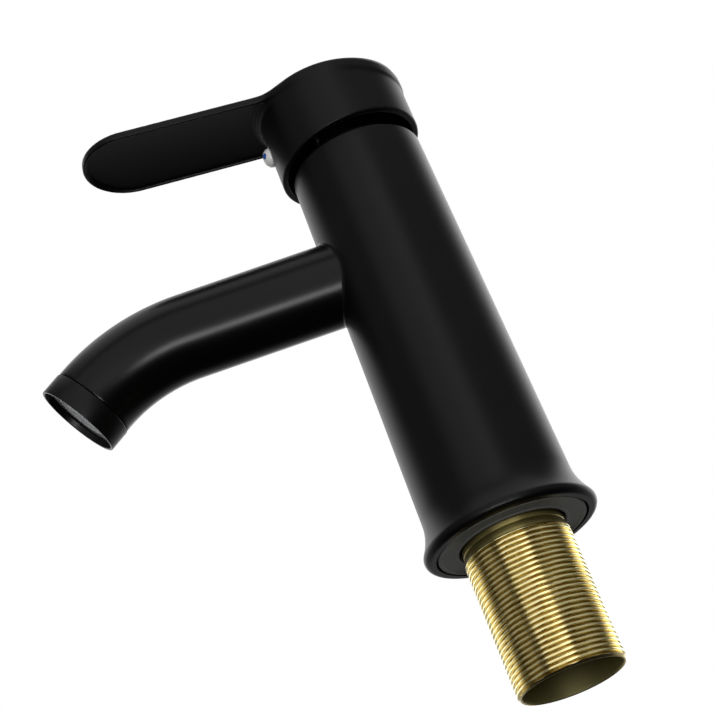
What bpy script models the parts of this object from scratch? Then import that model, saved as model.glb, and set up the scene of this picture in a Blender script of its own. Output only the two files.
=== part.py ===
"""Single-lever basin mixer: body, spout, aerator, ceramic cartridge, handle and threaded shank.

Frame: the origin is on the body's axis in the deck plane, +Z runs up along the body, and the spout
points along -Y. Metres throughout.
"""

import math

import bmesh
import bpy
from mathutils import Matrix, Vector

# Clearances
GAP = 0.0003
RUNNING_GAP = 0.0004
CUT_MARGIN = 0.004

# Body
BODY_TOP_Z = 0.1353
BODY_TOP_RADIUS = 0.0214
BODY_FOOT_RADIUS = 0.0229
BODY_TOP_ROUND = 0.0011
CARTRIDGE_RADIUS = 0.0175
BODY_BORE_RADIUS = CARTRIDGE_RADIUS + 0.0008
BODY_LOWER_BORE_RADIUS = BODY_BORE_RADIUS + 0.0005
FLARE_START_Z = 0.0130
LIP_RADIUS = 0.0263
LIP_ROUND = 0.0018
LIP_START = 31.0
LIP_BOTTOM_Z = 0.0
RECESS_RADIUS = 0.0232
RECESS_DEPTH = 0.0027

# Shank and gasket
SHANK_RADIUS = 0.0160
SHANK_WALL = 0.0012
SHANK_LENGTH = 0.0445
SHANK_NECK_RADIUS = 0.0154
SHANK_NECK_LENGTH = 0.0035
SHANK_SOCKET_DEPTH = 0.0160
SHANK_END_CHAMFER = 0.0006

# Waterway block under the cartridge
CORE_TOP_Z = BODY_TOP_Z - 0.0353
CORE_HEIGHT = 0.0400
CORE_SHOULDER_HEIGHT = 0.0030
SEAL_GROOVE_HALF = 0.0012
SEAL_GROOVE_DEPTH = 0.0021
SEAL_WIRE_RADIUS = 0.00075
SEAL_FROM_END = 0.0050
HOSE_SOCKET_RADIUS = 0.0046
HOSE_SOCKET_DEPTH = 0.0150
INLET_RADIUS = 0.0026
OUTLET_RADIUS = 0.0036
PORT_SIDE = 0.0066
PORT_BACK = 0.0040
OUTLET_FORWARD = 0.0075

# Spout
SPOUT_RADIUS = 0.0134
SPOUT_BORE_RADIUS = 0.0105
SPOUT_Z = CORE_TOP_Z - 0.0037
SPOUT_PITCH = math.radians(1.0)
SPOUT_STRAIGHT = 0.0683
SPOUT_BEND_RADIUS = 0.0578
SPOUT_BEND = math.radians(34.9)
SPOUT_END_STRAIGHT = 0.0012
SPOUT_ROOT = 0.0100

# Aerator
COLLAR_RADIUS = 0.0136
COLLAR_LENGTH = 0.0070
COLLAR_RIM_ROUND = 0.0007
COLLAR_WALL = 0.0006
COLLAR_LIP_HEIGHT = 0.0010
COLLAR_LIP_WALL = 0.0006
SPIGOT_RADIUS = 0.0116
SPIGOT_LENGTH = 0.0050
INSERT_HEIGHT = 0.0094
SCREEN_THICKNESS = 0.0005
AERATOR_SEAL_HEIGHT = 0.0014
AERATOR_SEAL_WIDTH = 0.0025

# Cartridge
CARTRIDGE_WALL = 0.0023
BASE_FLANGE_HEIGHT = 0.0032
BASE_HEIGHT = 0.0085
PORT_SEAL_WALL = 0.0013
PORT_SEAL_HEIGHT = 0.0020
PORT_SEAL_PROUD = 0.0003
FIXED_DISC_HEIGHT = 0.0036
MOVING_DISC_HEIGHT = 0.0033
SLIDING_RADIUS = 0.0108
CARRIER_HEIGHT = 0.0046
CARRIER_SOCKET_RADIUS = 0.0030
ROTOR_FLANGE_HEIGHT = 0.0034
ROTOR_NECK_RADIUS = 0.0106
ROTOR_NECK_HEIGHT = 0.0072
ROTOR_SLOT_WIDTH = 0.0086
ROTOR_SLOT_LENGTH = 0.0150
HOUSING_ROOF = 0.0030
NUT_HEIGHT = 0.0042
NUT_BORE_RADIUS = 0.0130
NUT_SLOT_WIDTH = 0.0040
NUT_SLOT_DEPTH = 0.0016
BONNET_RADIUS = 0.0192
BONNET_HEIGHT = 0.0024

# Spindle and its pivot
PIVOT_Z = BODY_TOP_Z - 0.0063
PIVOT_PIN_RADIUS = 0.0012
PIVOT_PIN_HALF = 0.0088
SPINDLE_SIDE = 0.0070
SPINDLE_EYE_WIDTH = 0.0076
SPINDLE_TOP_Z = BODY_TOP_Z + 0.0167
SPINDLE_TAIL_RADIUS = 0.0021
SPINDLE_BALL_RADIUS = 0.0026
SPINDLE_REACH = 0.0085

# Handle
HUB_RADIUS = 0.0237
HUB_CENTRE_Y = -0.0008
HUB_TOP_Z = BODY_TOP_Z + 0.0257
HUB_WALL = 0.0020
HUB_ROOF = 0.0040
HUB_RIM_Z = BODY_TOP_Z + 0.0031
HUB_RIM_SLOPE = math.radians(4.7)
HUB_TOP_ROUND = 0.0006
BOSS_RADIUS = 0.0080
BOSS_BOTTOM_Z = BODY_TOP_Z + 0.0077
LEVER_REACH = 0.0840
LEVER_HALF_WIDTH = 0.0159
LEVER_ROOT_Y = -0.0050
LEVER_PITCH = math.radians(6.05)
LEVER_THICKNESS = 0.0024
LEVER_RIM = 0.0016
LEVER_RECESS = 0.0009
ROOT_FILLET = 0.0080
SCREW_RADIUS = 0.0025
SCREW_LENGTH = 0.0055
SCREW_Z = BODY_TOP_Z + 0.0142
PLUG_RADIUS = 0.0032
PLUG_LENGTH = 0.0058
PLUG_PROUD = 0.0028
DOT_RADIUS = 0.0010
DOT_DEPTH = 0.0006
DOT_PROUD = 0.0002
DOT_SIDE = 0.0016

STEPS_LARGE = 56
STEPS_MEDIUM = 32
STEPS_SMALL = 16

PARTS = "basin_mixer"
CUTTERS = "cutters"


def clear_scene():
    for obj in list(bpy.data.objects):
        bpy.data.objects.remove(obj, do_unlink=True)


def collection(name):
    found = bpy.data.collections.get(name)
    if found is None:
        found = bpy.data.collections.new(name)
        bpy.context.scene.collection.children.link(found)
    return found


def material(name, color, metallic, roughness):
    made = bpy.data.materials.get(name)
    if made is None:
        made = bpy.data.materials.new(name)
        made.use_nodes = True
        shader = made.node_tree.nodes["Principled BSDF"]
        shader.inputs["Base Color"].default_value = (*color, 1.0)
        shader.inputs["Metallic"].default_value = metallic
        shader.inputs["Roughness"].default_value = roughness
    return made


def black_finish():
    return material("matt_black_coat", (0.012, 0.012, 0.013), 0.0, 0.42)


def brass():
    return material("bare_brass", (0.62, 0.47, 0.16), 1.0, 0.28)


def rubber():
    return material("grey_rubber", (0.035, 0.037, 0.042), 0.0, 0.75)


def steel():
    return material("stainless_steel", (0.60, 0.60, 0.61), 1.0, 0.30)


def white_plastic():
    return material("white_plastic", (0.80, 0.80, 0.78), 0.0, 0.40)


def grey_plastic():
    return material("grey_plastic", (0.42, 0.43, 0.44), 0.0, 0.45)


def ceramic():
    return material("alumina_ceramic", (0.86, 0.85, 0.80), 0.0, 0.22)


def link(mesh, name, finish, cutter=False):
    """An object for this mesh, among the parts with a finish, or among the cutters."""
    obj = bpy.data.objects.new(name, mesh)
    collection(CUTTERS if cutter else PARTS).objects.link(obj)
    if cutter:
        obj.hide_render = True
        obj.display_type = "WIRE"
    else:
        mesh.materials.append(finish)
        mesh.shade_smooth()
        mesh.set_sharp_from_angle(angle=math.radians(35))
    return obj


def mesh_of(bm, name):
    mesh = bpy.data.meshes.new(name)
    bm.to_mesh(mesh)
    bm.free()
    return mesh


def turned(name, profile, finish=None, steps=STEPS_LARGE, cutter=False):
    """A turned solid. The profile runs down its outer side and back up inside, as (radius, z)."""
    bm = bmesh.new()
    verts = [bm.verts.new((radius, 0.0, z)) for radius, z in profile]
    for a, b in zip(verts, verts[1:]):
        bm.edges.new((a, b))
    if profile[0][0] > 0.0 or profile[-1][0] > 0.0:
        bm.edges.new((verts[-1], verts[0]))
    mesh = bpy.data.meshes.new(name)
    bm.to_mesh(mesh)
    bm.free()
    obj = link(mesh, name, finish, cutter)
    screw = obj.modifiers.new("turn", "SCREW")
    screw.steps = steps
    screw.render_steps = steps
    screw.use_merge_vertices = True
    screw.merge_threshold = 0.00001
    screw.use_smooth_shade = True
    return obj


def plain_disc(radius, low, high):
    """The half section of a flat disc, for turned()."""
    return [(0.0, high), (radius, high), (radius, low), (0.0, low)]


def rod(name, radius, start, end, finish=None, steps=STEPS_SMALL, cutter=False):
    """A round bar from start to end."""
    start, end = Vector(start), Vector(end)
    along = end - start
    bm = bmesh.new()
    bmesh.ops.create_cone(
        bm, cap_ends=True, segments=steps, radius1=radius, radius2=radius, depth=along.length
    )
    obj = link(mesh_of(bm, name), name, finish, cutter)
    obj.rotation_mode = "QUATERNION"
    obj.rotation_quaternion = Vector((0, 0, 1)).rotation_difference(along)
    obj.location = (start + end) / 2
    return obj


def block(name, size, centre, finish=None, cutter=False):
    """A box of this size about this centre."""
    bm = bmesh.new()
    bmesh.ops.create_cube(bm, size=1.0)
    bmesh.ops.scale(bm, vec=size, verts=bm.verts)
    obj = link(mesh_of(bm, name), name, finish, cutter)
    obj.location = centre
    return obj


def ball(name, radius, centre):
    bm = bmesh.new()
    bmesh.ops.create_uvsphere(bm, u_segments=STEPS_SMALL, v_segments=12, radius=radius)
    obj = link(mesh_of(bm, name), name, None, cutter=True)
    obj.location = centre
    return obj


def boolean(obj, other, operation):
    step = obj.modifiers.new(operation.lower(), "BOOLEAN")
    step.operation = operation
    step.solver = "EXACT"
    step.object = other


def cut(obj, *cutters):
    for cutter in cutters:
        boolean(obj, cutter, "DIFFERENCE")


def join(obj, *others):
    for other in others:
        boolean(obj, other, "UNION")


def bent_bar(name, points, radius, finish=None, cutter=False):
    """A round bar along these points, as a mesh that takes cuts."""
    curve = bpy.data.curves.new(name + "_route", "CURVE")
    curve.dimensions = "3D"
    curve.bevel_depth = radius
    curve.bevel_resolution = 8
    curve.use_fill_caps = True
    spline = curve.splines.new("POLY")
    spline.points.add(len(points) - 1)
    for point, place in zip(spline.points, points):
        point.co = (*place, 1.0)
    guide = bpy.data.objects.new(name + "_route", curve)
    collection(CUTTERS).objects.link(guide)
    bpy.context.view_layer.update()
    graph = bpy.context.evaluated_depsgraph_get()
    mesh = bpy.data.meshes.new_from_object(guide.evaluated_get(graph))
    bm = bmesh.new()
    bm.from_mesh(mesh)
    bmesh.ops.remove_doubles(bm, verts=bm.verts, dist=0.000001)
    bm.to_mesh(mesh)
    bm.free()
    mesh.materials.clear()
    obj = link(mesh, name, finish, cutter)
    obj.matrix_world = guide.matrix_world
    bpy.data.objects.remove(guide, do_unlink=True)
    return obj


def arc(centre, radius, start, end, count):
    """Points (u, v) on an arc; the angles are in degrees."""
    angles = [math.radians(start + (end - start) * i / count) for i in range(count + 1)]
    return [(centre[0] + radius * math.cos(a), centre[1] + radius * math.sin(a)) for a in angles]


# ---------------------------------------------------------------- body, foot and shank


def foot_profile():
    """The cove from the body to the lip, and the rounded lip, from top to bottom."""
    lip_centre = (LIP_RADIUS - LIP_ROUND, LIP_BOTTOM_Z + LIP_ROUND)
    lip = arc(lip_centre, LIP_ROUND, LIP_START, -90, 8)
    radius, bottom = lip[0]
    cove = []
    for i in range(1, 8):
        share = i / 8
        cove.append((
            BODY_FOOT_RADIUS + (radius - BODY_FOOT_RADIUS) * share * share,
            FLARE_START_Z + (bottom - FLARE_START_Z) * share,
        ))
    return cove + lip


def make_body():
    socket_radius = SHANK_RADIUS + GAP
    recess_top = LIP_BOTTOM_Z + RECESS_DEPTH
    core_bottom = CORE_TOP_Z - CORE_HEIGHT
    shoulder_top = core_bottom - GAP
    shoulder_bottom = shoulder_top - CORE_SHOULDER_HEIGHT
    round_centre = (BODY_TOP_RADIUS - BODY_TOP_ROUND, BODY_TOP_Z - BODY_TOP_ROUND)
    profile = arc(round_centre, BODY_TOP_ROUND, 90, 0, 4)
    profile.append((BODY_FOOT_RADIUS, FLARE_START_Z))
    profile += foot_profile()
    profile += [
        (RECESS_RADIUS, LIP_BOTTOM_Z),
        (RECESS_RADIUS, recess_top),
        (socket_radius, recess_top),
        (socket_radius, recess_top + SHANK_SOCKET_DEPTH),
        (BODY_LOWER_BORE_RADIUS, recess_top + SHANK_SOCKET_DEPTH),
        (BODY_LOWER_BORE_RADIUS, shoulder_bottom),
        (BODY_BORE_RADIUS - CORE_SHOULDER_HEIGHT / 2, shoulder_bottom),
        (BODY_BORE_RADIUS - CORE_SHOULDER_HEIGHT / 2, shoulder_top),
        (BODY_BORE_RADIUS, shoulder_top),
        (BODY_BORE_RADIUS, BODY_TOP_Z),
    ]
    body = turned("body", profile, black_finish())
    wall_inside = BODY_BORE_RADIUS * 0.4
    hole = rod(
        "spout_hole",
        SPOUT_RADIUS + GAP,
        spout_point(wall_inside),
        spout_point(BODY_FOOT_RADIUS + CUT_MARGIN),
        steps=STEPS_MEDIUM,
        cutter=True,
    )
    cut(body, hole)
    return body


def make_shank():
    top = LIP_BOTTOM_Z + RECESS_DEPTH + SHANK_SOCKET_DEPTH
    bore = SHANK_RADIUS - SHANK_WALL
    thread_top = -SHANK_NECK_LENGTH
    neck_top = LIP_BOTTOM_Z + RECESS_DEPTH
    return turned(
        "threaded_shank",
        [
            (SHANK_RADIUS, top),
            (SHANK_RADIUS, neck_top),
            (SHANK_NECK_RADIUS, neck_top),
            (SHANK_NECK_RADIUS, thread_top),
            (SHANK_RADIUS, thread_top - (SHANK_RADIUS - SHANK_NECK_RADIUS)),
            (SHANK_RADIUS, -SHANK_LENGTH + SHANK_END_CHAMFER),
            (SHANK_RADIUS - SHANK_END_CHAMFER, -SHANK_LENGTH),
            (bore, -SHANK_LENGTH),
            (bore, top),
        ],
        brass(),
    )


def make_gasket():
    inner = SHANK_RADIUS + GAP
    outer = RECESS_RADIUS - GAP
    top = LIP_BOTTOM_Z + RECESS_DEPTH - GAP
    profile = [(outer, top), (outer, 0.0), (inner, 0.0), (inner, top)]
    return turned("foot_gasket", profile, rubber())


def ring_profile(radius, wire, z, count=6):
    """A round wire's section, run down its outer side."""
    return [
        (radius + wire * math.cos(a), z + wire * math.sin(a))
        for a in (math.radians(90 - 360 * i / count) for i in range(count))
    ]


def make_waterway_core():
    """The brass block with the hose sockets below and the cartridge's ports above."""
    outer = BODY_BORE_RADIUS - GAP
    bottom = CORE_TOP_Z - CORE_HEIGHT
    groove = outer - SEAL_GROOVE_DEPTH
    profile = [(0.0, CORE_TOP_Z)]
    for z in seal_heights():
        profile += [
            (outer, CORE_TOP_Z if z == seal_heights()[0] else z + CORE_HEIGHT / 4),
            (outer, z + SEAL_GROOVE_HALF),
            (groove, z + SEAL_GROOVE_HALF),
            (groove, z - SEAL_GROOVE_HALF),
            (outer, z - SEAL_GROOVE_HALF),
        ]
    profile += [(outer, bottom), (0.0, bottom)]
    core = turned("waterway_core", profile, brass(), steps=STEPS_MEDIUM)
    for side, name in ((-1, "hot"), (1, "cold")):
        x = side * PORT_SIDE
        port = rod(
            name + "_port",
            INLET_RADIUS,
            (x, PORT_BACK, bottom + HOSE_SOCKET_DEPTH / 2),
            (x, PORT_BACK, CORE_TOP_Z + CUT_MARGIN),
            cutter=True,
        )
        socket = rod(
            name + "_hose_socket",
            HOSE_SOCKET_RADIUS,
            (x, PORT_BACK, bottom - CUT_MARGIN),
            (x, PORT_BACK, bottom + HOSE_SOCKET_DEPTH),
            cutter=True,
        )
        cut(core, port, socket)
    outlet_z = SPOUT_Z - SPOUT_RADIUS / 2
    down = rod(
        "outlet_port",
        OUTLET_RADIUS,
        (0, -OUTLET_FORWARD, outlet_z),
        (0, -OUTLET_FORWARD, CORE_TOP_Z + CUT_MARGIN),
        cutter=True,
    )
    across = rod(
        "outlet_passage",
        OUTLET_RADIUS + GAP,
        (0, -OUTLET_FORWARD / 2, outlet_z),
        (0, -BODY_BORE_RADIUS - CUT_MARGIN, outlet_z),
        cutter=True,
    )
    cut(core, down, across)
    return core


def seal_heights():
    """The heights of the core's two ring grooves, top first."""
    low = CORE_TOP_Z - CORE_HEIGHT + SEAL_FROM_END
    high = SPOUT_Z - SPOUT_RADIUS - SEAL_FROM_END / 2
    return (high, low)


def make_core_seals():
    centre = BODY_BORE_RADIUS - 2 * GAP - SEAL_WIRE_RADIUS
    for name, z in zip(("core_seal_upper", "core_seal_lower"), seal_heights()):
        turned(name, ring_profile(centre, SEAL_WIRE_RADIUS, z), rubber(), steps=STEPS_MEDIUM)


# ---------------------------------------------------------------- spout and aerator


def spout_point(distance):
    """A point on the spout's centreline, by its distance from the body's axis."""
    pitch = SPOUT_PITCH
    if distance <= SPOUT_STRAIGHT:
        return Vector((0, -distance * math.cos(pitch), SPOUT_Z + distance * math.sin(pitch)))
    start = spout_point(SPOUT_STRAIGHT)
    turn = min((distance - SPOUT_STRAIGHT) / SPOUT_BEND_RADIUS, SPOUT_BEND)
    centre = start - SPOUT_BEND_RADIUS * Vector((0, math.sin(pitch), math.cos(pitch)))
    angle = pitch - turn
    bent = centre + SPOUT_BEND_RADIUS * Vector((0, math.sin(angle), math.cos(angle)))
    rest = distance - SPOUT_STRAIGHT - SPOUT_BEND_RADIUS * SPOUT_BEND
    if rest <= 0:
        return bent
    return bent + rest * spout_end_direction()


def spout_end_direction():
    angle = SPOUT_PITCH - SPOUT_BEND
    return Vector((0, -math.cos(angle), math.sin(angle)))


def spout_length():
    return SPOUT_STRAIGHT + SPOUT_BEND_RADIUS * SPOUT_BEND + SPOUT_END_STRAIGHT


def mouth_frame():
    """Puts a piece made upright about its own z axis on the spout's end, with z=0 at the mouth."""
    back = -spout_end_direction()
    turn = Vector((0, 0, 1)).rotation_difference(back).to_matrix().to_4x4()
    return Matrix.Translation(spout_point(spout_length() + COLLAR_LENGTH + GAP)) @ turn


def make_spout():
    end = spout_length()
    bend_steps = 12
    stations = [SPOUT_ROOT, SPOUT_STRAIGHT / 2, SPOUT_STRAIGHT]
    bend = SPOUT_BEND_RADIUS * SPOUT_BEND
    stations += [SPOUT_STRAIGHT + bend * i / bend_steps for i in range(1, bend_steps + 1)]
    stations.append(end)
    spout = bent_bar("spout_tube", [spout_point(s) for s in stations], SPOUT_RADIUS, black_finish())
    inside = [0.0, *stations[1:], end + CUT_MARGIN]
    bore = bent_bar("spout_bore", [spout_point(s) for s in inside], SPOUT_BORE_RADIUS, cutter=True)
    seat = turned(
        "aerator_seat",
        [
            (0.0, seat_top()),
            (SPIGOT_RADIUS + GAP, seat_top()),
            (SPIGOT_RADIUS + GAP, COLLAR_LENGTH - CUT_MARGIN),
            (0.0, COLLAR_LENGTH - CUT_MARGIN),
        ],
        steps=STEPS_MEDIUM,
        cutter=True,
    )
    seat.matrix_world = mouth_frame()
    saddle = rod(
        "spout_saddle",
        BODY_BORE_RADIUS,
        (0, 0, SPOUT_Z - 2 * SPOUT_RADIUS),
        (0, 0, SPOUT_Z + 2 * SPOUT_RADIUS),
        steps=STEPS_LARGE,
        cutter=True,
    )
    cut(spout, bore, seat, saddle)
    return spout


def spigot_top():
    return COLLAR_LENGTH + SPIGOT_LENGTH


def seat_top():
    return spigot_top() + AERATOR_SEAL_HEIGHT + 2 * GAP


def make_aerator():
    bore = SPIGOT_RADIUS - COLLAR_WALL
    lip_bore = bore - COLLAR_LIP_WALL
    rim = arc((COLLAR_RADIUS - COLLAR_RIM_ROUND, COLLAR_RIM_ROUND), COLLAR_RIM_ROUND, 0, -90, 4)
    collar = turned(
        "aerator_collar",
        [
            (SPIGOT_RADIUS, spigot_top()),
            (SPIGOT_RADIUS, COLLAR_LENGTH),
            (COLLAR_RADIUS, COLLAR_LENGTH),
            *rim,
            (lip_bore, 0.0),
            (lip_bore, COLLAR_LIP_HEIGHT),
            (bore, COLLAR_LIP_HEIGHT),
            (bore, spigot_top()),
        ],
        black_finish(),
        steps=STEPS_MEDIUM,
    )
    insert_bottom = COLLAR_LIP_HEIGHT + GAP
    insert_top = insert_bottom + INSERT_HEIGHT
    inner = bore - GAP
    insert = turned(
        "aerator_insert",
        plain_disc(inner, insert_bottom, insert_top),
        grey_plastic(),
        steps=STEPS_MEDIUM,
    )
    screen_bottom = insert_top + GAP
    screen_top = screen_bottom + SCREEN_THICKNESS
    screen = turned(
        "aerator_screen",
        plain_disc(inner, screen_bottom, screen_top),
        steel(),
        steps=STEPS_MEDIUM,
    )
    seal_bottom = spigot_top() + GAP
    seal_inner = SPIGOT_RADIUS - AERATOR_SEAL_WIDTH
    seal = turned(
        "aerator_seal",
        [
            (SPIGOT_RADIUS, seal_bottom + AERATOR_SEAL_HEIGHT),
            (SPIGOT_RADIUS, seal_bottom),
            (seal_inner, seal_bottom),
            (seal_inner, seal_bottom + AERATOR_SEAL_HEIGHT),
        ],
        rubber(),
        steps=STEPS_MEDIUM,
    )
    for piece in (collar, insert, screen, seal):
        piece.matrix_world = mouth_frame()


# ---------------------------------------------------------------- cartridge


def cartridge_levels():
    """The heights between the cartridge's stacked pieces, bottom up."""
    levels = {"base": CORE_TOP_Z + 2 * GAP}
    levels["base_top"] = levels["base"] + BASE_HEIGHT
    levels["fixed"] = levels["base_top"] + GAP
    levels["moving"] = levels["fixed"] + FIXED_DISC_HEIGHT + GAP
    levels["carrier"] = levels["moving"] + MOVING_DISC_HEIGHT + GAP
    levels["rotor"] = levels["carrier"] + CARRIER_HEIGHT + RUNNING_GAP
    levels["roof"] = levels["rotor"] + ROTOR_FLANGE_HEIGHT + RUNNING_GAP
    levels["housing_top"] = levels["roof"] + HOUSING_ROOF
    return levels


def ports(prefix, low, high, extra=0.0):
    """Cutters for the two inlets and the outlet between two heights."""
    places = (
        ("hot", -PORT_SIDE, PORT_BACK, INLET_RADIUS),
        ("cold", PORT_SIDE, PORT_BACK, INLET_RADIUS),
        ("outlet", 0.0, -OUTLET_FORWARD, OUTLET_RADIUS),
    )
    return [
        rod(f"{prefix}_{name}", radius + extra, (x, y, low), (x, y, high), cutter=True)
        for name, x, y, radius in places
    ]


def make_cartridge_base():
    level = cartridge_levels()
    low, high = level["base"], level["base_top"]
    inner = CARTRIDGE_RADIUS - CARTRIDGE_WALL - GAP
    shoulder = low + BASE_FLANGE_HEIGHT
    base = turned(
        "cartridge_base",
        [
            (0.0, high),
            (inner, high),
            (inner, shoulder),
            (CARTRIDGE_RADIUS, shoulder),
            (CARTRIDGE_RADIUS, low),
            (0.0, low),
        ],
        grey_plastic(),
        steps=STEPS_MEDIUM,
    )
    cut(base, *ports("base", low - CUT_MARGIN, high + CUT_MARGIN))
    pocket_top = low + PORT_SEAL_HEIGHT - PORT_SEAL_PROUD + GAP
    cut(base, *ports("pocket", low - CUT_MARGIN, pocket_top, PORT_SEAL_WALL + GAP))
    seals = (
        ("inlet_seal_hot", -PORT_SIDE, PORT_BACK, INLET_RADIUS),
        ("inlet_seal_cold", PORT_SIDE, PORT_BACK, INLET_RADIUS),
        ("outlet_seal", 0.0, -OUTLET_FORWARD, OUTLET_RADIUS),
    )
    bottom = low - PORT_SEAL_PROUD
    for name, x, y, radius in seals:
        outer = radius + PORT_SEAL_WALL
        profile = [(outer, bottom + PORT_SEAL_HEIGHT), (outer, bottom), (radius, bottom)]
        profile.append((radius, bottom + PORT_SEAL_HEIGHT))
        seal = turned(name, profile, rubber(), steps=STEPS_SMALL)
        seal.location = (x, y, 0)


def make_discs():
    level = cartridge_levels()
    fixed_low = level["fixed"]
    fixed_high = fixed_low + FIXED_DISC_HEIGHT
    inner = CARTRIDGE_RADIUS - CARTRIDGE_WALL - GAP
    fixed = turned(
        "fixed_disc",
        plain_disc(inner, fixed_low, fixed_high),
        ceramic(),
        steps=STEPS_MEDIUM,
    )
    cut(fixed, *ports("disc", fixed_low - CUT_MARGIN, fixed_high + CUT_MARGIN))
    moving_low = level["moving"]
    moving_high = moving_low + MOVING_DISC_HEIGHT
    moving = turned(
        "moving_disc",
        plain_disc(SLIDING_RADIUS, moving_low, moving_high),
        ceramic(),
        steps=STEPS_MEDIUM,
    )
    channel = block(
        "mixing_channel",
        (2 * PORT_SIDE, OUTLET_FORWARD, MOVING_DISC_HEIGHT),
        (0, -PORT_BACK / 2, moving_low),
        cutter=True,
    )
    cut(moving, channel)
    carrier_low = level["carrier"]
    carrier_high = carrier_low + CARRIER_HEIGHT
    carrier = turned(
        "disc_carrier",
        plain_disc(SLIDING_RADIUS, carrier_low, carrier_high),
        white_plastic(),
        steps=STEPS_MEDIUM,
    )
    ball_z = PIVOT_Z - SPINDLE_REACH
    socket = rod(
        "ball_socket",
        CARRIER_SOCKET_RADIUS,
        (0, 0, ball_z - SPINDLE_BALL_RADIUS - GAP),
        (0, 0, carrier_high + CUT_MARGIN),
        cutter=True,
    )
    cut(carrier, socket)


def make_rotor_and_housing():
    level = cartridge_levels()
    low = level["rotor"]
    flange = low + ROTOR_FLANGE_HEIGHT
    top = flange + ROTOR_NECK_HEIGHT
    chamber = CARTRIDGE_RADIUS - CARTRIDGE_WALL
    flange_radius = chamber - RUNNING_GAP
    rotor = turned(
        "rotor",
        [
            (0.0, top),
            (ROTOR_NECK_RADIUS, top),
            (ROTOR_NECK_RADIUS, flange),
            (flange_radius, flange),
            (flange_radius, low),
            (0.0, low),
        ],
        white_plastic(),
        steps=STEPS_MEDIUM,
    )
    slot = block(
        "spindle_slot",
        (ROTOR_SLOT_WIDTH, ROTOR_SLOT_LENGTH, top - low + 2 * CUT_MARGIN),
        (0, 0, (low + top) / 2),
        cutter=True,
    )
    hole = rod(
        "rotor_pin_hole",
        PIVOT_PIN_RADIUS + GAP,
        (-PIVOT_PIN_HALF - GAP, 0, PIVOT_Z),
        (PIVOT_PIN_HALF + GAP, 0, PIVOT_Z),
        cutter=True,
    )
    cut(rotor, slot, hole)
    left, right = (-PIVOT_PIN_HALF, 0, PIVOT_Z), (PIVOT_PIN_HALF, 0, PIVOT_Z)
    rod("pivot_pin", PIVOT_PIN_RADIUS, left, right, steel())
    bottom = level["base"] + BASE_FLANGE_HEIGHT + GAP
    neck = ROTOR_NECK_RADIUS + RUNNING_GAP
    turned(
        "cartridge_housing",
        [
            (CARTRIDGE_RADIUS, level["housing_top"]),
            (CARTRIDGE_RADIUS, bottom),
            (chamber, bottom),
            (chamber, level["roof"]),
            (neck, level["roof"]),
            (neck, level["housing_top"]),
        ],
        white_plastic(),
        steps=STEPS_MEDIUM,
    )


def make_nut_and_bonnet():
    bottom = cartridge_levels()["housing_top"] + GAP
    outer = BODY_BORE_RADIUS - GAP
    nut = turned(
        "cartridge_nut",
        [
            (outer, bottom + NUT_HEIGHT),
            (outer, bottom),
            (NUT_BORE_RADIUS, bottom),
            (NUT_BORE_RADIUS, bottom + NUT_HEIGHT),
        ],
        brass(),
        steps=STEPS_MEDIUM,
    )
    for i in range(2):
        slot = block(
            f"spanner_slot_{i}",
            (3 * BODY_BORE_RADIUS, NUT_SLOT_WIDTH, 2 * NUT_SLOT_DEPTH),
            (0, 0, bottom + NUT_HEIGHT),
            cutter=True,
        )
        slot.rotation_euler.z = math.radians(90 * i)
        cut(nut, slot)
    bonnet_low = BODY_TOP_Z + GAP
    round_radius = BONNET_HEIGHT / 2
    round_centre = (BONNET_RADIUS - round_radius, bonnet_low + BONNET_HEIGHT - round_radius)
    shoulder = arc(round_centre, round_radius, 90, 0, 4)
    turned(
        "bonnet_ring",
        [
            *shoulder,
            (BONNET_RADIUS, bonnet_low),
            (NUT_BORE_RADIUS, bonnet_low),
            (NUT_BORE_RADIUS, bonnet_low + BONNET_HEIGHT),
        ],
        black_finish(),
        steps=STEPS_MEDIUM,
    )


# ---------------------------------------------------------------- spindle and handle


def make_spindle():
    eye_bottom = PIVOT_Z - SPINDLE_SIDE / 2
    height = SPINDLE_TOP_Z - eye_bottom
    spindle = block(
        "spindle",
        (SPINDLE_SIDE, SPINDLE_SIDE, height),
        (0, 0, eye_bottom + height / 2),
        steel(),
    )
    tail = rod(
        "spindle_tail",
        SPINDLE_TAIL_RADIUS,
        (0, 0, PIVOT_Z - SPINDLE_REACH),
        (0, 0, PIVOT_Z),
        cutter=True,
    )
    knob = ball("spindle_ball", SPINDLE_BALL_RADIUS, (0, 0, PIVOT_Z - SPINDLE_REACH))
    join(spindle, tail, knob)
    hole = rod(
        "spindle_eye",
        PIVOT_PIN_RADIUS + GAP,
        (-SPINDLE_EYE_WIDTH, 0, PIVOT_Z),
        (SPINDLE_EYE_WIDTH, 0, PIVOT_Z),
        cutter=True,
    )
    cut(spindle, hole)


def lever_outline():
    """The lever's plan, as (x, distance from the axis): a tongue over the hub, fillets, round tip."""
    hub_meet = math.sqrt((HUB_RADIUS + ROOT_FILLET) ** 2 - (LEVER_HALF_WIDTH + ROOT_FILLET) ** 2)
    fillet_centre = (LEVER_HALF_WIDTH + ROOT_FILLET, hub_meet - HUB_CENTRE_Y)
    touch = math.degrees(math.atan2(hub_meet, LEVER_HALF_WIDTH + ROOT_FILLET))
    tip = LEVER_REACH - LEVER_HALF_WIDTH
    right = [(LEVER_HALF_WIDTH, -LEVER_ROOT_Y)]
    right += arc(fillet_centre, ROOT_FILLET, 180 + touch, 180, 5)
    right += arc((0.0, tip), LEVER_HALF_WIDTH, 0, 90, 12)
    left = [(-x, y) for x, y in reversed(right[:-1])]
    return right + left


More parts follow.
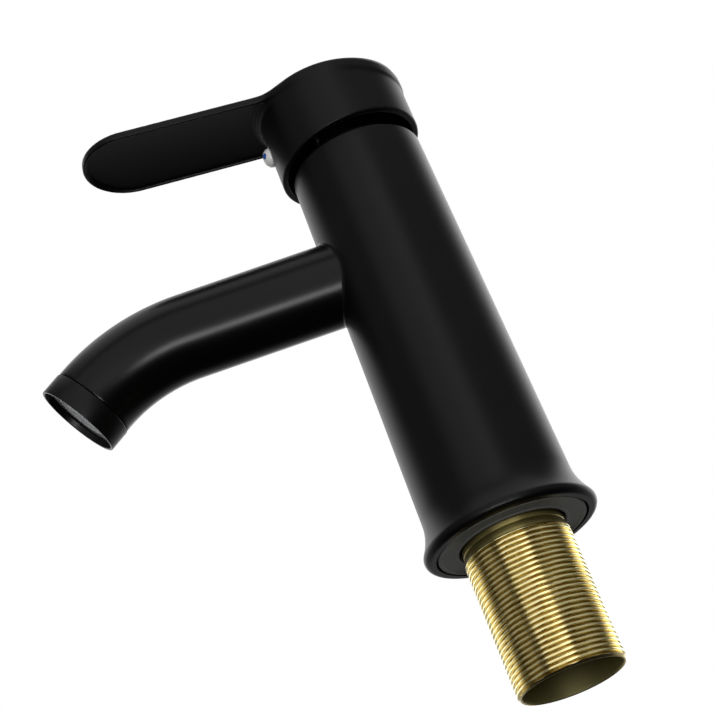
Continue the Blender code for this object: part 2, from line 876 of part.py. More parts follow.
def slab(name, outline, thickness, cutter):
    """A flat piece of this plan, with its top face at z=0."""
    curve = bpy.data.curves.new(name + "_outline", "CURVE")
    curve.dimensions = "2D"
    curve.fill_mode = "BOTH"
    curve.extrude = thickness / 2
    spline = curve.splines.new("POLY")
    spline.points.add(len(outline) - 1)
    spline.use_cyclic_u = True
    for point, (x, distance) in zip(spline.points, outline):
        point.co = (x, -distance, 0.0, 1.0)
    guide = bpy.data.objects.new(name + "_outline", curve)
    collection(CUTTERS).objects.link(guide)
    bpy.context.view_layer.update()
    graph = bpy.context.evaluated_depsgraph_get()
    mesh = bpy.data.meshes.new_from_object(guide.evaluated_get(graph))
    bpy.data.objects.remove(guide, do_unlink=True)
    bm = bmesh.new()
    bm.from_mesh(mesh)
    bmesh.ops.remove_doubles(bm, verts=bm.verts, dist=0.000001)
    bmesh.ops.translate(bm, vec=(0, 0, -thickness / 2), verts=bm.verts)
    bmesh.ops.recalc_face_normals(bm, faces=bm.faces)
    bm.to_mesh(mesh)
    bm.free()
    mesh.materials.clear()
    return link(mesh, name, None, cutter)


def lever_frame():
    """Tilts a slab about the line where the lever leaves the hub's top."""
    hinge = Matrix.Translation((0, LEVER_ROOT_Y, HUB_TOP_Z))
    return hinge @ Matrix.Rotation(-LEVER_PITCH, 4, "X") @ Matrix.Translation((0, -LEVER_ROOT_Y, 0))


def make_handle():
    rim_low = HUB_RIM_Z - HUB_RADIUS * math.tan(HUB_RIM_SLOPE) - CUT_MARGIN
    round_centre = (HUB_RADIUS - HUB_TOP_ROUND, HUB_TOP_Z - HUB_TOP_ROUND)
    handle = turned(
        "handle",
        [
            (0.0, HUB_TOP_Z),
            *arc(round_centre, HUB_TOP_ROUND, 90, 0, 3),
            (HUB_RADIUS, rim_low),
            (0.0, rim_low),
        ],
        black_finish(),
    )
    handle.location = (0, HUB_CENTRE_Y, 0)
    lever = slab("lever", lever_outline(), LEVER_THICKNESS, cutter=True)
    lever.matrix_world = lever_frame()
    root_radius = HUB_RADIUS - HUB_TOP_ROUND
    spread = math.degrees(math.acos(LEVER_HALF_WIDTH / root_radius))
    root_plan = arc((0.0, -HUB_CENTRE_Y), root_radius, spread, 180 - spread, 14)
    root = slab("lever_root", root_plan, 1.5 * LEVER_THICKNESS, cutter=True)
    root.matrix_world = lever_frame()
    join(handle, lever, root)
    reach_in = HUB_RADIUS + ROOT_FILLET / 2
    half = LEVER_HALF_WIDTH - LEVER_RIM
    tip = arc((0.0, LEVER_REACH - LEVER_HALF_WIDTH), half, 0, 180, 20)
    recess_plan = [(half, reach_in), *tip, (-half, reach_in)]
    recess = slab("lever_recess", recess_plan, LEVER_THICKNESS, cutter=True)
    recess.matrix_world = lever_frame() @ Matrix.Translation((0, 0, LEVER_RECESS - LEVER_THICKNESS))
    cavity = turned(
        "handle_cavity",
        [
            (BOSS_RADIUS, HUB_TOP_Z - HUB_ROOF),
            (HUB_RADIUS - HUB_WALL, HUB_TOP_Z - HUB_ROOF),
            (HUB_RADIUS - HUB_WALL, rim_low - CUT_MARGIN),
            (0.0, rim_low - CUT_MARGIN),
            (0.0, BOSS_BOTTOM_Z),
            (BOSS_RADIUS, BOSS_BOTTOM_Z),
        ],
        cutter=True,
    )
    cavity.location = (0, HUB_CENTRE_Y, 0)
    below = block(
        "rim_slant",
        (4 * HUB_RADIUS, 4 * HUB_RADIUS, HUB_RADIUS),
        (0, 0, 0),
        cutter=True,
    )
    slant = Matrix.Rotation(HUB_RIM_SLOPE, 4, "X") @ Matrix.Translation((0, 0, -HUB_RADIUS / 2))
    below.matrix_world = Matrix.Translation((0, HUB_CENTRE_Y, HUB_RIM_Z)) @ slant
    side = SPINDLE_SIDE + 2 * GAP
    socket = block(
        "spindle_socket",
        (side, side, 2 * (SPINDLE_TOP_Z + GAP - BOSS_BOTTOM_Z)),
        (0, 0, BOSS_BOTTOM_Z),
        cutter=True,
    )
    front = HUB_CENTRE_Y - HUB_RADIUS
    screw_hole = rod(
        "screw_hole",
        SCREW_RADIUS + GAP,
        (0, 0, SCREW_Z),
        (0, front / 2, SCREW_Z),
        cutter=True,
    )
    plug_hole = rod(
        "plug_hole",
        PLUG_RADIUS + GAP,
        (0, front + HUB_WALL + CUT_MARGIN, SCREW_Z),
        (0, front - CUT_MARGIN, SCREW_Z),
        cutter=True,
    )
    cut(handle, recess, cavity, below, socket, screw_hole, plug_hole)


def make_handle_fittings():
    screw_start = -SPINDLE_SIDE / 2 - GAP
    screw = rod(
        "set_screw",
        SCREW_RADIUS,
        (0, screw_start, SCREW_Z),
        (0, screw_start - SCREW_LENGTH, SCREW_Z),
        steel(),
    )
    key = rod(
        "hex_socket",
        SCREW_RADIUS / 2,
        (0, screw_start - SCREW_LENGTH / 2, SCREW_Z),
        (0, screw_start - SCREW_LENGTH - CUT_MARGIN, SCREW_Z),
        steps=6,
        cutter=True,
    )
    cut(screw, key)
    face = HUB_CENTRE_Y - HUB_RADIUS - PLUG_PROUD
    plug = rod(
        "indicator_plug",
        PLUG_RADIUS,
        (0, face + PLUG_LENGTH, SCREW_Z),
        (0, face, SCREW_Z),
        white_plastic(),
    )
    dots = (
        ("hot_dot", -DOT_SIDE, material("red_dot", (0.55, 0.03, 0.03), 0.0, 0.4)),
        ("cold_dot", DOT_SIDE, material("blue_dot", (0.03, 0.12, 0.45), 0.0, 0.4)),
    )
    for name, x, colour in dots:
        pocket = rod(
            name + "_pocket",
            DOT_RADIUS + GAP,
            (x, face - CUT_MARGIN, SCREW_Z),
            (x, face + DOT_DEPTH, SCREW_Z),
            steps=16,
            cutter=True,
        )
        cut(plug, pocket)
        back = (x, face + DOT_DEPTH - GAP, SCREW_Z)
        rod(name, DOT_RADIUS, back, (x, face - DOT_PROUD, SCREW_Z), colour, steps=16)


def parent_moving_pieces():
    """Empties on the two handle axes, carrying the pieces that move about them."""
    view = bpy.context.view_layer
    view.update()
    turn = bpy.data.objects.new("turn_axis", None)
    lift = bpy.data.objects.new("lift_axis", None)
    slide = bpy.data.objects.new("disc_slide", None)
    for empty in (turn, lift, slide):
        collection(PARTS).objects.link(empty)
    lift.location = (0, 0, PIVOT_Z)
    lift.parent = turn
    slide.parent = turn
    view.update()
    carried = {
        turn: ("rotor", "pivot_pin"),
        slide: ("disc_carrier", "moving_disc"),
        lift: ("spindle", "handle", "set_screw", "indicator_plug", "hot_dot", "cold_dot"),
    }
    for empty, names in carried.items():
        for name in names:
            piece = bpy.data.objects[name]
            placed = piece.matrix_world.copy()
            piece.parent = empty
            piece.matrix_parent_inverse = empty.matrix_world.inverted()
            piece.matrix_world = placed


def main():
    clear_scene()
    make_body()
    make_shank()
    make_gasket()
    make_waterway_core()
    make_core_seals()
    make_spout()
    make_aerator()
    make_cartridge_base()
    make_discs()
    make_rotor_and_housing()
    make_nut_and_bonnet()
    make_spindle()
    make_handle()
    make_handle_fittings()
    parent_moving_pieces()


main()
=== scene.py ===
"""Looks of a single-lever basin mixer: matt black body, spout and lever, bare brass threaded shank.

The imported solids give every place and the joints. The pieces that can be seen are made again here
with their real edges, fillets, thread and honeycomb, and every piece gets its maker's finish.
"""

from __future__ import annotations

import logging
import math
from dataclasses import dataclass, field, replace
from enum import Enum
from typing import Callable, Iterable, Sequence

import bmesh
import bpy
import numpy as np
from mathutils import Matrix, Vector

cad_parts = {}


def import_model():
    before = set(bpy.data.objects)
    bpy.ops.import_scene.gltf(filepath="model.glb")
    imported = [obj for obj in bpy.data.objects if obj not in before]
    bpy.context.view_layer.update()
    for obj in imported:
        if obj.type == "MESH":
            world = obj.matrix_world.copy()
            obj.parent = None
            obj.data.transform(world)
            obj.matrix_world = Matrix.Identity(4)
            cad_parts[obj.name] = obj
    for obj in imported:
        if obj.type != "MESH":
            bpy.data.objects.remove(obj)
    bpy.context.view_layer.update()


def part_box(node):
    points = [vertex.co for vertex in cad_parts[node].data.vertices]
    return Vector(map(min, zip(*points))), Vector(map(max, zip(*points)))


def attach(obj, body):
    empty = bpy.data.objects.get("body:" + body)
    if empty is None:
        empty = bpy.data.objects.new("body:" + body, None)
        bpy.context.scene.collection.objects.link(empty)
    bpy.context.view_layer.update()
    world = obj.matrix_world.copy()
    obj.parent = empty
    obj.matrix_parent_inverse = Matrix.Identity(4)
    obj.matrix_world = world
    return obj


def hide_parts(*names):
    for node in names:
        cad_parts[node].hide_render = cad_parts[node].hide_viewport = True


LOG = logging.getLogger("basin_mixer")

Profile = list[tuple[float, float]]
Colour = tuple[float, float, float]
Field = Callable[[np.ndarray], np.ndarray]

MM = 0.001
LATHE_SEGMENTS = 144
SMALL_SEGMENTS = 64
SHARP_ANGLE = math.radians(32.0)
FIT = 0.0003


class Body(str, Enum):
    """The moving bodies that a piece can ride on."""

    FIXED = "root"
    HANDLE = "handle_group"


class Pattern(str, Enum):
    """The fine surface patterns, two of them with painted shade, each one a shared node group."""

    GRAIN = "coat_grain"
    TURNED = "turning_marks"
    MOULDED = "moulded_skin"
    THREAD = "thread_shade"
    MESH = "wire_mesh"


# ------------------------------------------------------------------ mesh tools


def link_mesh(name: str, verts: np.ndarray, faces: Sequence[Sequence[int]]) -> bpy.types.Object:
    """Makes one closed, smooth-shaded object from points and faces.

    Args:
        name: The object's name.
        verts: Points in metres, one row each.
        faces: Vertex numbers of each face.

    Returns:
        The new object, linked to the scene.
    """
    mesh = bpy.data.meshes.new(name)
    mesh.from_pydata([tuple(v) for v in np.asarray(verts, float)], [], [tuple(f) for f in faces])
    work = bmesh.new()
    work.from_mesh(mesh)
    bmesh.ops.remove_doubles(work, verts=work.verts, dist=1e-7)
    bmesh.ops.recalc_face_normals(work, faces=work.faces)
    work.to_mesh(mesh)
    work.free()
    mesh.shade_smooth()
    mesh.set_sharp_from_angle(angle=SHARP_ANGLE)
    obj = bpy.data.objects.new(name, mesh)
    bpy.context.scene.collection.objects.link(obj)
    return obj


def arc(
    centre: tuple[float, float], radius: float, start: float, end: float, count: int
) -> Profile:
    """Points on an arc in the half section.

    Args:
        centre: The arc's centre as (radius, z).
        radius: The arc's own radius.
        start: First angle, in degrees.
        end: Last angle, in degrees.
        count: Number of steps.

    Returns:
        The points, ends included.
    """
    turns = [math.radians(start + (end - start) * i / count) for i in range(count + 1)]
    return [(centre[0] + radius * math.cos(a), centre[1] + radius * math.sin(a)) for a in turns]


def eased(profile: Profile, radius: float, steps: int = 3, closed: bool = True) -> Profile:
    """Breaks the corners of a half section with small rounds.

    Args:
        profile: The corners in order.
        radius: How far each round reaches along its two sides.
        steps: Points in each round, less one.
        closed: Whether the last corner joins the first.

    Returns:
        The profile with rounded corners.
    """
    points = [Vector(p) for p in profile]
    count = len(points)
    out: Profile = []
    for i, here in enumerate(points):
        at_end = not closed and i in (0, count - 1)
        before, after = points[i - 1] - here, points[(i + 1) % count] - here
        if at_end or abs(math.pi - before.angle(after, 0.0)) < math.radians(25.0):
            out.append((here.x, here.y))
            continue
        reach = min(radius, before.length * 0.45, after.length * 0.45)
        first, last = here + before.normalized() * reach, here + after.normalized() * reach
        for k in range(steps + 1):
            u = k / steps
            spot = first * (1 - u) ** 2 + here * (2 * u * (1 - u)) + last * u**2
            out.append((spot.x, spot.y))
    return out


def turned(name: str, profile: Profile, segments: int = LATHE_SEGMENTS) -> bpy.types.Object:
    """A solid turned about the z axis.

    Args:
        name: The object's name.
        profile: The half section; it closes on itself unless both ends are on the axis.
        segments: Steps round the axis.

    Returns:
        The turned object.
    """
    angles = 2 * math.pi * np.arange(segments) / segments
    verts: list[tuple[float, float, float]] = []
    rings: list[list[int]] = []
    for radius, z in profile:
        if radius < 1e-7:
            rings.append([len(verts)] * segments)
            verts.append((0.0, 0.0, z))
            continue
        rings.append(list(range(len(verts), len(verts) + segments)))
        verts += [(radius * math.cos(a), radius * math.sin(a), z) for a in angles]
    pairs = list(zip(rings, rings[1:]))
    if profile[0][0] > 1e-7 or profile[-1][0] > 1e-7:
        pairs.append((rings[-1], rings[0]))
    faces = []
    for upper, lower in pairs:
        for i in range(segments):
            j = (i + 1) % segments
            corners = list(dict.fromkeys((upper[i], upper[j], lower[j], lower[i])))
            if len(corners) > 2:
                faces.append(corners)
    return link_mesh(name, np.array(verts), faces)


def looped(name: str, rings: Sequence[np.ndarray]) -> bpy.types.Object:
    """A closed, ring-shaped skin through rings of points, the last one joined to the first.

    Args:
        name: The object's name.
        rings: Arrays of the same number of points.

    Returns:
        The object.
    """
    size, total = len(rings[0]), len(rings)
    faces = []
    for k in range(total):
        first, second = k * size, ((k + 1) % total) * size
        for i in range(size):
            j = (i + 1) % size
            faces.append((first + i, first + j, second + j, second + i))
    return link_mesh(name, np.concatenate(rings), faces)


def cut_away(piece: bpy.types.Object, cutters: Iterable[bpy.types.Object]) -> None:
    """Cuts each cutter from the piece, applies the result and removes the cutters.

    Args:
        piece: The object to cut.
        cutters: Closed meshes.
    """
    for cutter in cutters:
        step = piece.modifiers.new("cut", "BOOLEAN")
        step.operation, step.solver, step.object = "DIFFERENCE", "EXACT", cutter
        bpy.context.view_layer.update()
        graph = bpy.context.evaluated_depsgraph_get()
        mesh = bpy.data.meshes.new_from_object(piece.evaluated_get(graph))
        piece.modifiers.clear()
        piece.data = mesh
        bpy.data.objects.remove(cutter, do_unlink=True)
    piece.data.shade_smooth()
    piece.data.set_sharp_from_angle(angle=SHARP_ANGLE)


def placed(name: str, work: bmesh.types.BMesh) -> bpy.types.Object:
    """Turns edited geometry into a plain object in the scene, and frees it.

    Args:
        name: The object's name.
        work: The geometry.

    Returns:
        The object.
    """
    mesh = bpy.data.meshes.new(name)
    work.to_mesh(mesh)
    work.free()
    obj = bpy.data.objects.new(name, mesh)
    bpy.context.scene.collection.objects.link(obj)
    return obj


def round_rod(radius: float, start: Vector, end: Vector, segments: int = 96) -> bpy.types.Object:
    """A plain round cutter between two points, cut from the piece it is used on.

    Args:
        radius: The rod's radius.
        start: One end.
        end: The other end.
        segments: Sides of the rod.

    Returns:
        The cutter.
    """
    along = end - start
    work = bmesh.new()
    turn = Vector((0, 0, 1)).rotation_difference(along).to_matrix().to_4x4()
    bmesh.ops.create_cone(
        work, cap_ends=True, segments=segments, radius1=radius, radius2=radius,
        depth=along.length, matrix=Matrix.Translation((start + end) / 2) @ turn,
    )
    return placed("cutter", work)


def blend_min(a: np.ndarray, b: np.ndarray, reach: float) -> np.ndarray:
    """Joins two signed distances with a fillet of about this reach."""
    share = np.clip(0.5 + 0.5 * (b - a) / reach, 0.0, 1.0)
    return b * (1 - share) + a * share - reach * share * (1 - share)


def blend_max(a: np.ndarray, b: np.ndarray, reach: float) -> np.ndarray:
    """Intersects two signed distances with a rounded edge of about this reach."""
    return -blend_min(-a, -b, reach)


def settle(shape: Field, points: np.ndarray, step: float, rounds: int = 3) -> np.ndarray:
    """Moves points on to the surface of a shape.

    Args:
        shape: The signed distance.
        points: Points near the surface.
        step: The grid step they came from.
        rounds: Number of moves.

    Returns:
        The moved points.
    """
    small = step * 0.05
    for _ in range(rounds):
        value = shape(points)
        slope = np.empty_like(points)
        for axis in range(3):
            shift = np.zeros(3)
            shift[axis] = small
            slope[:, axis] = (shape(points + shift) - shape(points - shift)) / (2 * small)
        length = np.maximum((slope**2).sum(1), 0.05)
        move = -(np.clip(value, -step, step) / length)[:, None] * slope
        points = points + np.clip(move, -0.45 * step, 0.45 * step)
    return points


def skinned(
    name: str, shape: Field, low: Sequence[float], high: Sequence[float], step: float
) -> bpy.types.Object:
    """The surface of a signed distance as one closed mesh of near-square faces.

    Args:
        name: The object's name.
        shape: The signed distance, in millimetres, of points in millimetres.
        low: Lowest corner to look in.
        high: Highest corner to look in.
        step: Grid step in millimetres.

    Returns:
        The object, in metres.
    """
    axes = [np.arange(a, b + step, step) for a, b in zip(low, high)]
    grid = np.empty([len(a) for a in axes], np.float32)
    plane = np.stack(np.meshgrid(axes[1], axes[2], indexing="ij"), -1).reshape(-1, 2)
    for i, x in enumerate(axes[0]):
        points = np.column_stack([np.full(len(plane), x), plane])
        grid[i] = shape(points).reshape(grid.shape[1:])
    inside = grid < 0
    corners = [(i, j, k) for i in (0, 1) for j in (0, 1) for k in (0, 1)]
    shape_of_cells = tuple(n - 1 for n in grid.shape)

    def shifted(source: np.ndarray, corner: tuple[int, int, int]) -> np.ndarray:
        """The grid seen from one corner of every cell."""
        window = tuple(slice(c, c + n) for c, n in zip(corner, shape_of_cells))
        return source[window]

    count = sum(shifted(inside, c).astype(np.int8) for c in corners)
    cells = np.argwhere((count > 0) & (count < 8))
    value = np.stack([grid[tuple((cells + c).T)] for c in corners], 1)
    total = np.zeros((len(cells), 3))
    crossings = np.zeros(len(cells))
    for a in range(8):
        for b in range(a + 1, 8):
            first, second = np.array(corners[a]), np.array(corners[b])
            if np.abs(first - second).sum() != 1:
                continue
            hit = (value[:, a] < 0) != (value[:, b] < 0)
            share = value[hit, a] / (value[hit, a] - value[hit, b])
            total[hit] += first + share[:, None] * (second - first)
            crossings[hit] += 1
    origin = np.array([a[0] for a in axes])
    points = origin + step * (cells + total / crossings[:, None])
    points = settle(shape, points, step)
    number = np.full(shape_of_cells, -1, np.int64)
    number[tuple(cells.T)] = np.arange(len(cells))
    faces = []
    for axis in range(3):
        u, v = (axis + 1) % 3, (axis + 2) % 3
        near = tuple(slice(0, -1) if d == axis else slice(1, -1) for d in range(3))
        far = tuple(slice(1, None) if d == axis else slice(1, -1) for d in range(3))
        start = np.array([0 if d == axis else 1 for d in range(3)])
        for leaving in (True, False):
            edge = np.argwhere((inside[near] == leaving) & (inside[far] == (not leaving))) + start
            quad = []
            for du, dv in ((0, 0), (-1, 0), (-1, -1), (0, -1)):
                cell = edge.copy()
                cell[:, u] += du
                cell[:, v] += dv
                quad.append(number[tuple(cell.T)])
            stacked = np.stack(quad, 1)
            faces.append(stacked if leaving else stacked[:, ::-1])
    mesh_faces = np.concatenate(faces)
    return link_mesh(name, points * MM, mesh_faces.tolist())


# ------------------------------------------------------------------ shared node groups


class NodeBench:
    """Builds nodes in one tree and joins them by name."""

    def __init__(self, tree: bpy.types.NodeTree) -> None:
        """Starts with an existing tree."""
        self.tree = tree

    def add(
        self, kind: str, inputs: dict[str | int, object] | None = None, **settings: object
    ) -> bpy.types.Node:
        """Adds a node.

        Args:
            kind: The node's type name.
            inputs: Socket values, or sockets to join, by socket name or number.
            settings: Properties of the node.

        Returns:
            The node.
        """
        node = self.tree.nodes.new(kind)
        for key, value in settings.items():
            setattr(node, key, value)
        for key, value in (inputs or {}).items():
            if isinstance(value, bpy.types.NodeSocket):
                self.tree.links.new(value, node.inputs[key])
            else:
                node.inputs[key].default_value = value
        return node

    def math(self, operation: str, a: object, b: object) -> bpy.types.NodeSocket:
        """The output of a maths node on two values or sockets."""
        return self.add("ShaderNodeMath", {0: a, 1: b}, operation=operation).outputs[0]

    def ramp(
        self, value: object, start: float, end: float, low: float = 0.0, high: float = 1.0
    ) -> bpy.types.NodeSocket:
        """A smooth change from low to high while the value goes from start to end."""
        ends = {"Value": value, "From Min": start, "From Max": end, "To Min": low, "To Max": high}
        return self.add("ShaderNodeMapRange", ends, interpolation_type="SMOOTHSTEP").outputs[0]

    def noise(
        self, place: object, scale: object, detail: float = 3.0, rough: float = 0.55
    ) -> bpy.types.NodeSocket:
        """The grey output of a noise texture."""
        inputs = {"Vector": place, "Scale": scale, "Detail": detail, "Roughness": rough}
        return self.add("ShaderNodeTexNoise", inputs).outputs[0]


class PatternBench(NodeBench):
    """Builds one shared pattern group, with Scale and a strength in, Height and Tone out."""

    def __init__(self, name: str, strength: str = "Contrast") -> None:
        """Starts the group.

        Args:
            name: The group's name.
            strength: The name of the input that the tone is multiplied by.
        """
        super().__init__(bpy.data.node_groups.new(name, "ShaderNodeTree"))
        new_socket = self.tree.interface.new_socket
        for label in ("Scale", strength):
            new_socket(label, in_out="INPUT", socket_type="NodeSocketFloat").default_value = 1.0
        for label in ("Height", "Tone"):
            new_socket(label, in_out="OUTPUT", socket_type="NodeSocketFloat")
        given = self.add("NodeGroupInput")
        self.scale, self.strength = given.outputs["Scale"], given.outputs[strength]
        self.place = self.add("ShaderNodeTexCoord").outputs["Object"]

    def scaled(self, frequency: float) -> bpy.types.NodeSocket:
        """A frequency times the group's scale."""
        return self.math("MULTIPLY", self.scale, frequency)

    def grain(
        self, frequency: float, detail: float, rough: float = 0.55, across: float = 1.0
    ) -> bpy.types.NodeSocket:
        """Noise of a frequency that follows the group's scale.

        Args:
            frequency: Features per metre, about.
            detail: Noise detail.
            rough: Noise roughness.
            across: Below 1, the noise is drawn out into rings about z.

        Returns:
            The grey output.
        """
        place = self.place
        if across < 1.0:
            inputs = {"Vector": place, "Scale": (across, across, 1.0)}
            place = self.add("ShaderNodeMapping", inputs).outputs[0]
        return self.noise(place, self.scaled(frequency), detail, rough)

    def close(self, height: bpy.types.NodeSocket, tone: bpy.types.NodeSocket) -> None:
        """Joins the group's outputs, the tone times its strength."""
        shown = self.math("MULTIPLY", tone, self.strength)
        self.add("NodeGroupOutput", {"Height": height, "Tone": shown})


@dataclass(frozen=True)
class PatternLibrary:
    """Makes the shared pattern groups once.

    Attributes:
        thread_root: Radius of the thread's roots.
        thread_crest: Radius of its crests.
    """

    thread_root: float = 0.01512
    thread_crest: float = 0.0160

    def build(self) -> None:
        """Builds every group."""
        self.coat_grain()
        self.turning_marks()
        self.moulded_skin()
        self.thread_shade()
        self.wire_mesh()
        self.soft_wear()

    def coat_grain(self) -> None:
        """The fine, slightly pebbled skin of a baked matt coat."""
        bench = PatternBench(Pattern.GRAIN.value)
        peel = bench.math("MULTIPLY", bench.grain(700.0, 2.0), 0.6)
        height = bench.math("ADD", bench.grain(5200.0, 2.0), peel)
        bench.close(height, bench.ramp(bench.grain(90.0, 4.0), 0.3, 0.7))

    def turning_marks(self) -> None:
        """Fine rings left by a lathe about the piece's own z axis."""
        bench = PatternBench(Pattern.TURNED.value)
        rings = bench.grain(6000.0, 2.0, across=0.03)
        bench.close(rings, bench.math("MULTIPLY", rings, bench.grain(160.0, 3.0)))

    def moulded_skin(self) -> None:
        """The faint texture and flow clouds of moulded plastic, rubber or pressed ceramic."""
        bench = PatternBench(Pattern.MOULDED.value)
        inputs = {"Vector": bench.place, "Scale": bench.scaled(3200.0)}
        cells = bench.add("ShaderNodeTexVoronoi", inputs).outputs[0]
        height = bench.math("ADD", bench.grain(2400.0, 3.0), bench.math("MULTIPLY", cells, 0.4))
        bench.close(height, bench.ramp(bench.grain(140.0, 3.0), 0.35, 0.7))

    def thread_shade(self) -> None:
        """Painted shade in the roots of a thread about z: darker brass there, bright brass on its
        crests.
        """
        bench = PatternBench(Pattern.THREAD.value)
        sideways = {0: bench.place, 1: (1.0, 1.0, 0.0)}
        flat = bench.add("ShaderNodeVectorMath", sideways, operation="MULTIPLY").outputs[0]
        radius = bench.add("ShaderNodeVectorMath", {0: flat}, operation="LENGTH").outputs["Value"]
        # painted shade: the tone grows from the crests to the roots, where the thread's shade
        # falls; the random clouds only vary its strength
        depth = bench.ramp(radius, self.thread_crest, self.thread_root)
        cloud = bench.ramp(bench.grain(240.0, 4.0), 0.2, 0.8, 0.6, 1.0)
        marks = bench.grain(9000.0, 2.0, across=0.05)
        bench.close(marks, bench.math("MULTIPLY", depth, cloud))

    def wire_mesh(self) -> None:
        """Crossed round wires of a woven screen, with painted shade in the gaps between them."""
        bench = PatternBench(Pattern.MESH.value)
        sides = bench.add("ShaderNodeSeparateXYZ", {0: bench.place}).outputs
        pitch = bench.scaled(9000.0)
        waves = [
            bench.add("ShaderNodeMath", {0: bench.math("MULTIPLY", side, pitch)}, operation="SINE")
            for side in sides[:2]
        ]
        height = bench.math("MAXIMUM", waves[0].outputs[0], waves[1].outputs[0])
        # painted shade: the tone darkens where both waves are low, in the gaps between the wires
        bench.close(height, bench.ramp(height, 0.4, -0.4))

    def soft_wear(self) -> None:
        """Handling: wide soft smears and a few fine dust specks, as a roughness mask."""
        bench = PatternBench("soft_wear", "Amount")
        smear = bench.ramp(bench.grain(45.0, 5.0, 0.6), 0.38, 0.68)
        specks = bench.ramp(bench.grain(1500.0, 2.0), 0.68, 0.76)
        both = bench.math("MAXIMUM", bench.math("MULTIPLY", smear, 0.7), specks)
        bench.close(specks, both)


# ------------------------------------------------------------------ finishes

MADE_FINISHES: dict[str, bpy.types.Material] = {}
MIX_FIRST, MIX_SECOND, MIX_RESULT = 6, 7, 2


@dataclass(frozen=True)
class Finish:
    """One maker's finish, as a material with its own pattern and wear.

    Attributes:
        name: The material's name.
        slot: The record's material slot; not used.
        tone: Main colour, linear.
        second: The colour that the pattern mixes in.
        metallic: 1 for bare metal.
        roughness: Smooth and worn roughness.
        pattern: Which pattern group it uses.
        scale: Pattern scale.
        contrast: How far the pattern reaches the second colour.
        depth: Depth of the bump, in metres.
        wear: Strength of the wear mask.
        specular: Specular level.
    """

    name: str
    slot: str
    tone: Colour
    second: Colour
    metallic: float
    roughness: tuple[float, float]
    pattern: Pattern
    scale: float = 1.0
    contrast: float = 0.5
    depth: float = 0.000004
    wear: float = 0.5
    specular: float = 0.5

    def build(self) -> bpy.types.Material:
        """The material, made once for all the pieces that share it.

        Returns:
            The material of this finish.

        Raises:
            ValueError: If the frame already has a material of this name.
        """
        if self.name in MADE_FINISHES:
            return MADE_FINISHES[self.name]
        if self.name in bpy.data.materials:
            raise ValueError(f"the frame already has a material called {self.name}")
        made = bpy.data.materials.new(self.name)
        MADE_FINISHES[self.name] = made
        made.use_nodes = True
        made.diffuse_color = (*self.tone, 1.0)
        bench = NodeBench(made.node_tree)
        shader = made.node_tree.nodes["Principled BSDF"]
        shader.inputs["Metallic"].default_value = self.metallic
        shader.inputs["Specular IOR Level"].default_value = self.specular
        skin = bench.add("ShaderNodeGroup", node_tree=bpy.data.node_groups[self.pattern.value])
        skin.inputs["Scale"].default_value = self.scale
        skin.inputs["Contrast"].default_value = self.contrast
        use = bench.add("ShaderNodeGroup", node_tree=bpy.data.node_groups["soft_wear"])
        use.inputs["Amount"].default_value = self.wear
        colour = bench.add("ShaderNodeMix", {"Factor": skin.outputs["Tone"]}, data_type="RGBA")
        colour.inputs[MIX_FIRST].default_value = (*self.tone, 1.0)
        colour.inputs[MIX_SECOND].default_value = (*self.second, 1.0)
        rough = bench.ramp(use.outputs["Tone"], 0.0, 1.0, self.roughness[0], self.roughness[1])
        bump = bench.add("ShaderNodeBump", {"Height": skin.outputs["Height"]})
        bump.inputs["Strength"].default_value = 1.0
        bump.inputs["Distance"].default_value = self.depth
        links = made.node_tree.links
        links.new(colour.outputs[MIX_RESULT], shader.inputs["Base Color"])
        links.new(rough, shader.inputs["Roughness"])
        links.new(bump.outputs[0], shader.inputs["Normal"])
        return made


MATT_BLACK = Finish(
    "baked_black_coat", "matt_black_coat", (0.0012, 0.0012, 0.0012), (0.0024, 0.0024, 0.0023),
    0.0, (0.28, 0.34), Pattern.GRAIN, wear=0.4, specular=0.20,
)
BODY_BLACK = replace(MATT_BLACK, name="body_black_coat", roughness=(0.37, 0.44))
HANDLE_BLACK = replace(
    MATT_BLACK, name="handle_black_coat", tone=(0.0014, 0.0014, 0.0014),
    second=(0.0026, 0.0026, 0.0025), roughness=(0.42, 0.50),
)
COLLAR_BLACK = replace(
    MATT_BLACK, name="collar_black_coat", tone=(0.0016, 0.0016, 0.0016),
    second=(0.0028, 0.0028, 0.0028), roughness=(0.36, 0.44),
)
# a darker, duller copy of the black coat for the ring seen in the gap under the lever: painted
# shade
SHADED_INNER_BLACK = replace(
    MATT_BLACK, name="unlit_black_coat", tone=(0.0008, 0.0008, 0.0008),
    second=(0.0016, 0.0016, 0.0016), roughness=(0.60, 0.70), depth=0.000006, specular=0.15,
)
# the second colour is painted shade in the thread's roots; the first is the bare brass of the
# crests
THREAD_BRASS = Finish(
    "thread_brass", "bare_brass", (0.95, 0.83, 0.42), (0.38, 0.25, 0.05),
    1.0, (0.20, 0.27), Pattern.THREAD, contrast=0.95, depth=0.0000012,
)
BORE_BRASS = Finish(
    "bore_brass", "bare_brass", (0.40, 0.36, 0.16), (0.30, 0.27, 0.11),
    1.0, (0.50, 0.62), Pattern.TURNED, contrast=0.6, depth=0.000003,
)
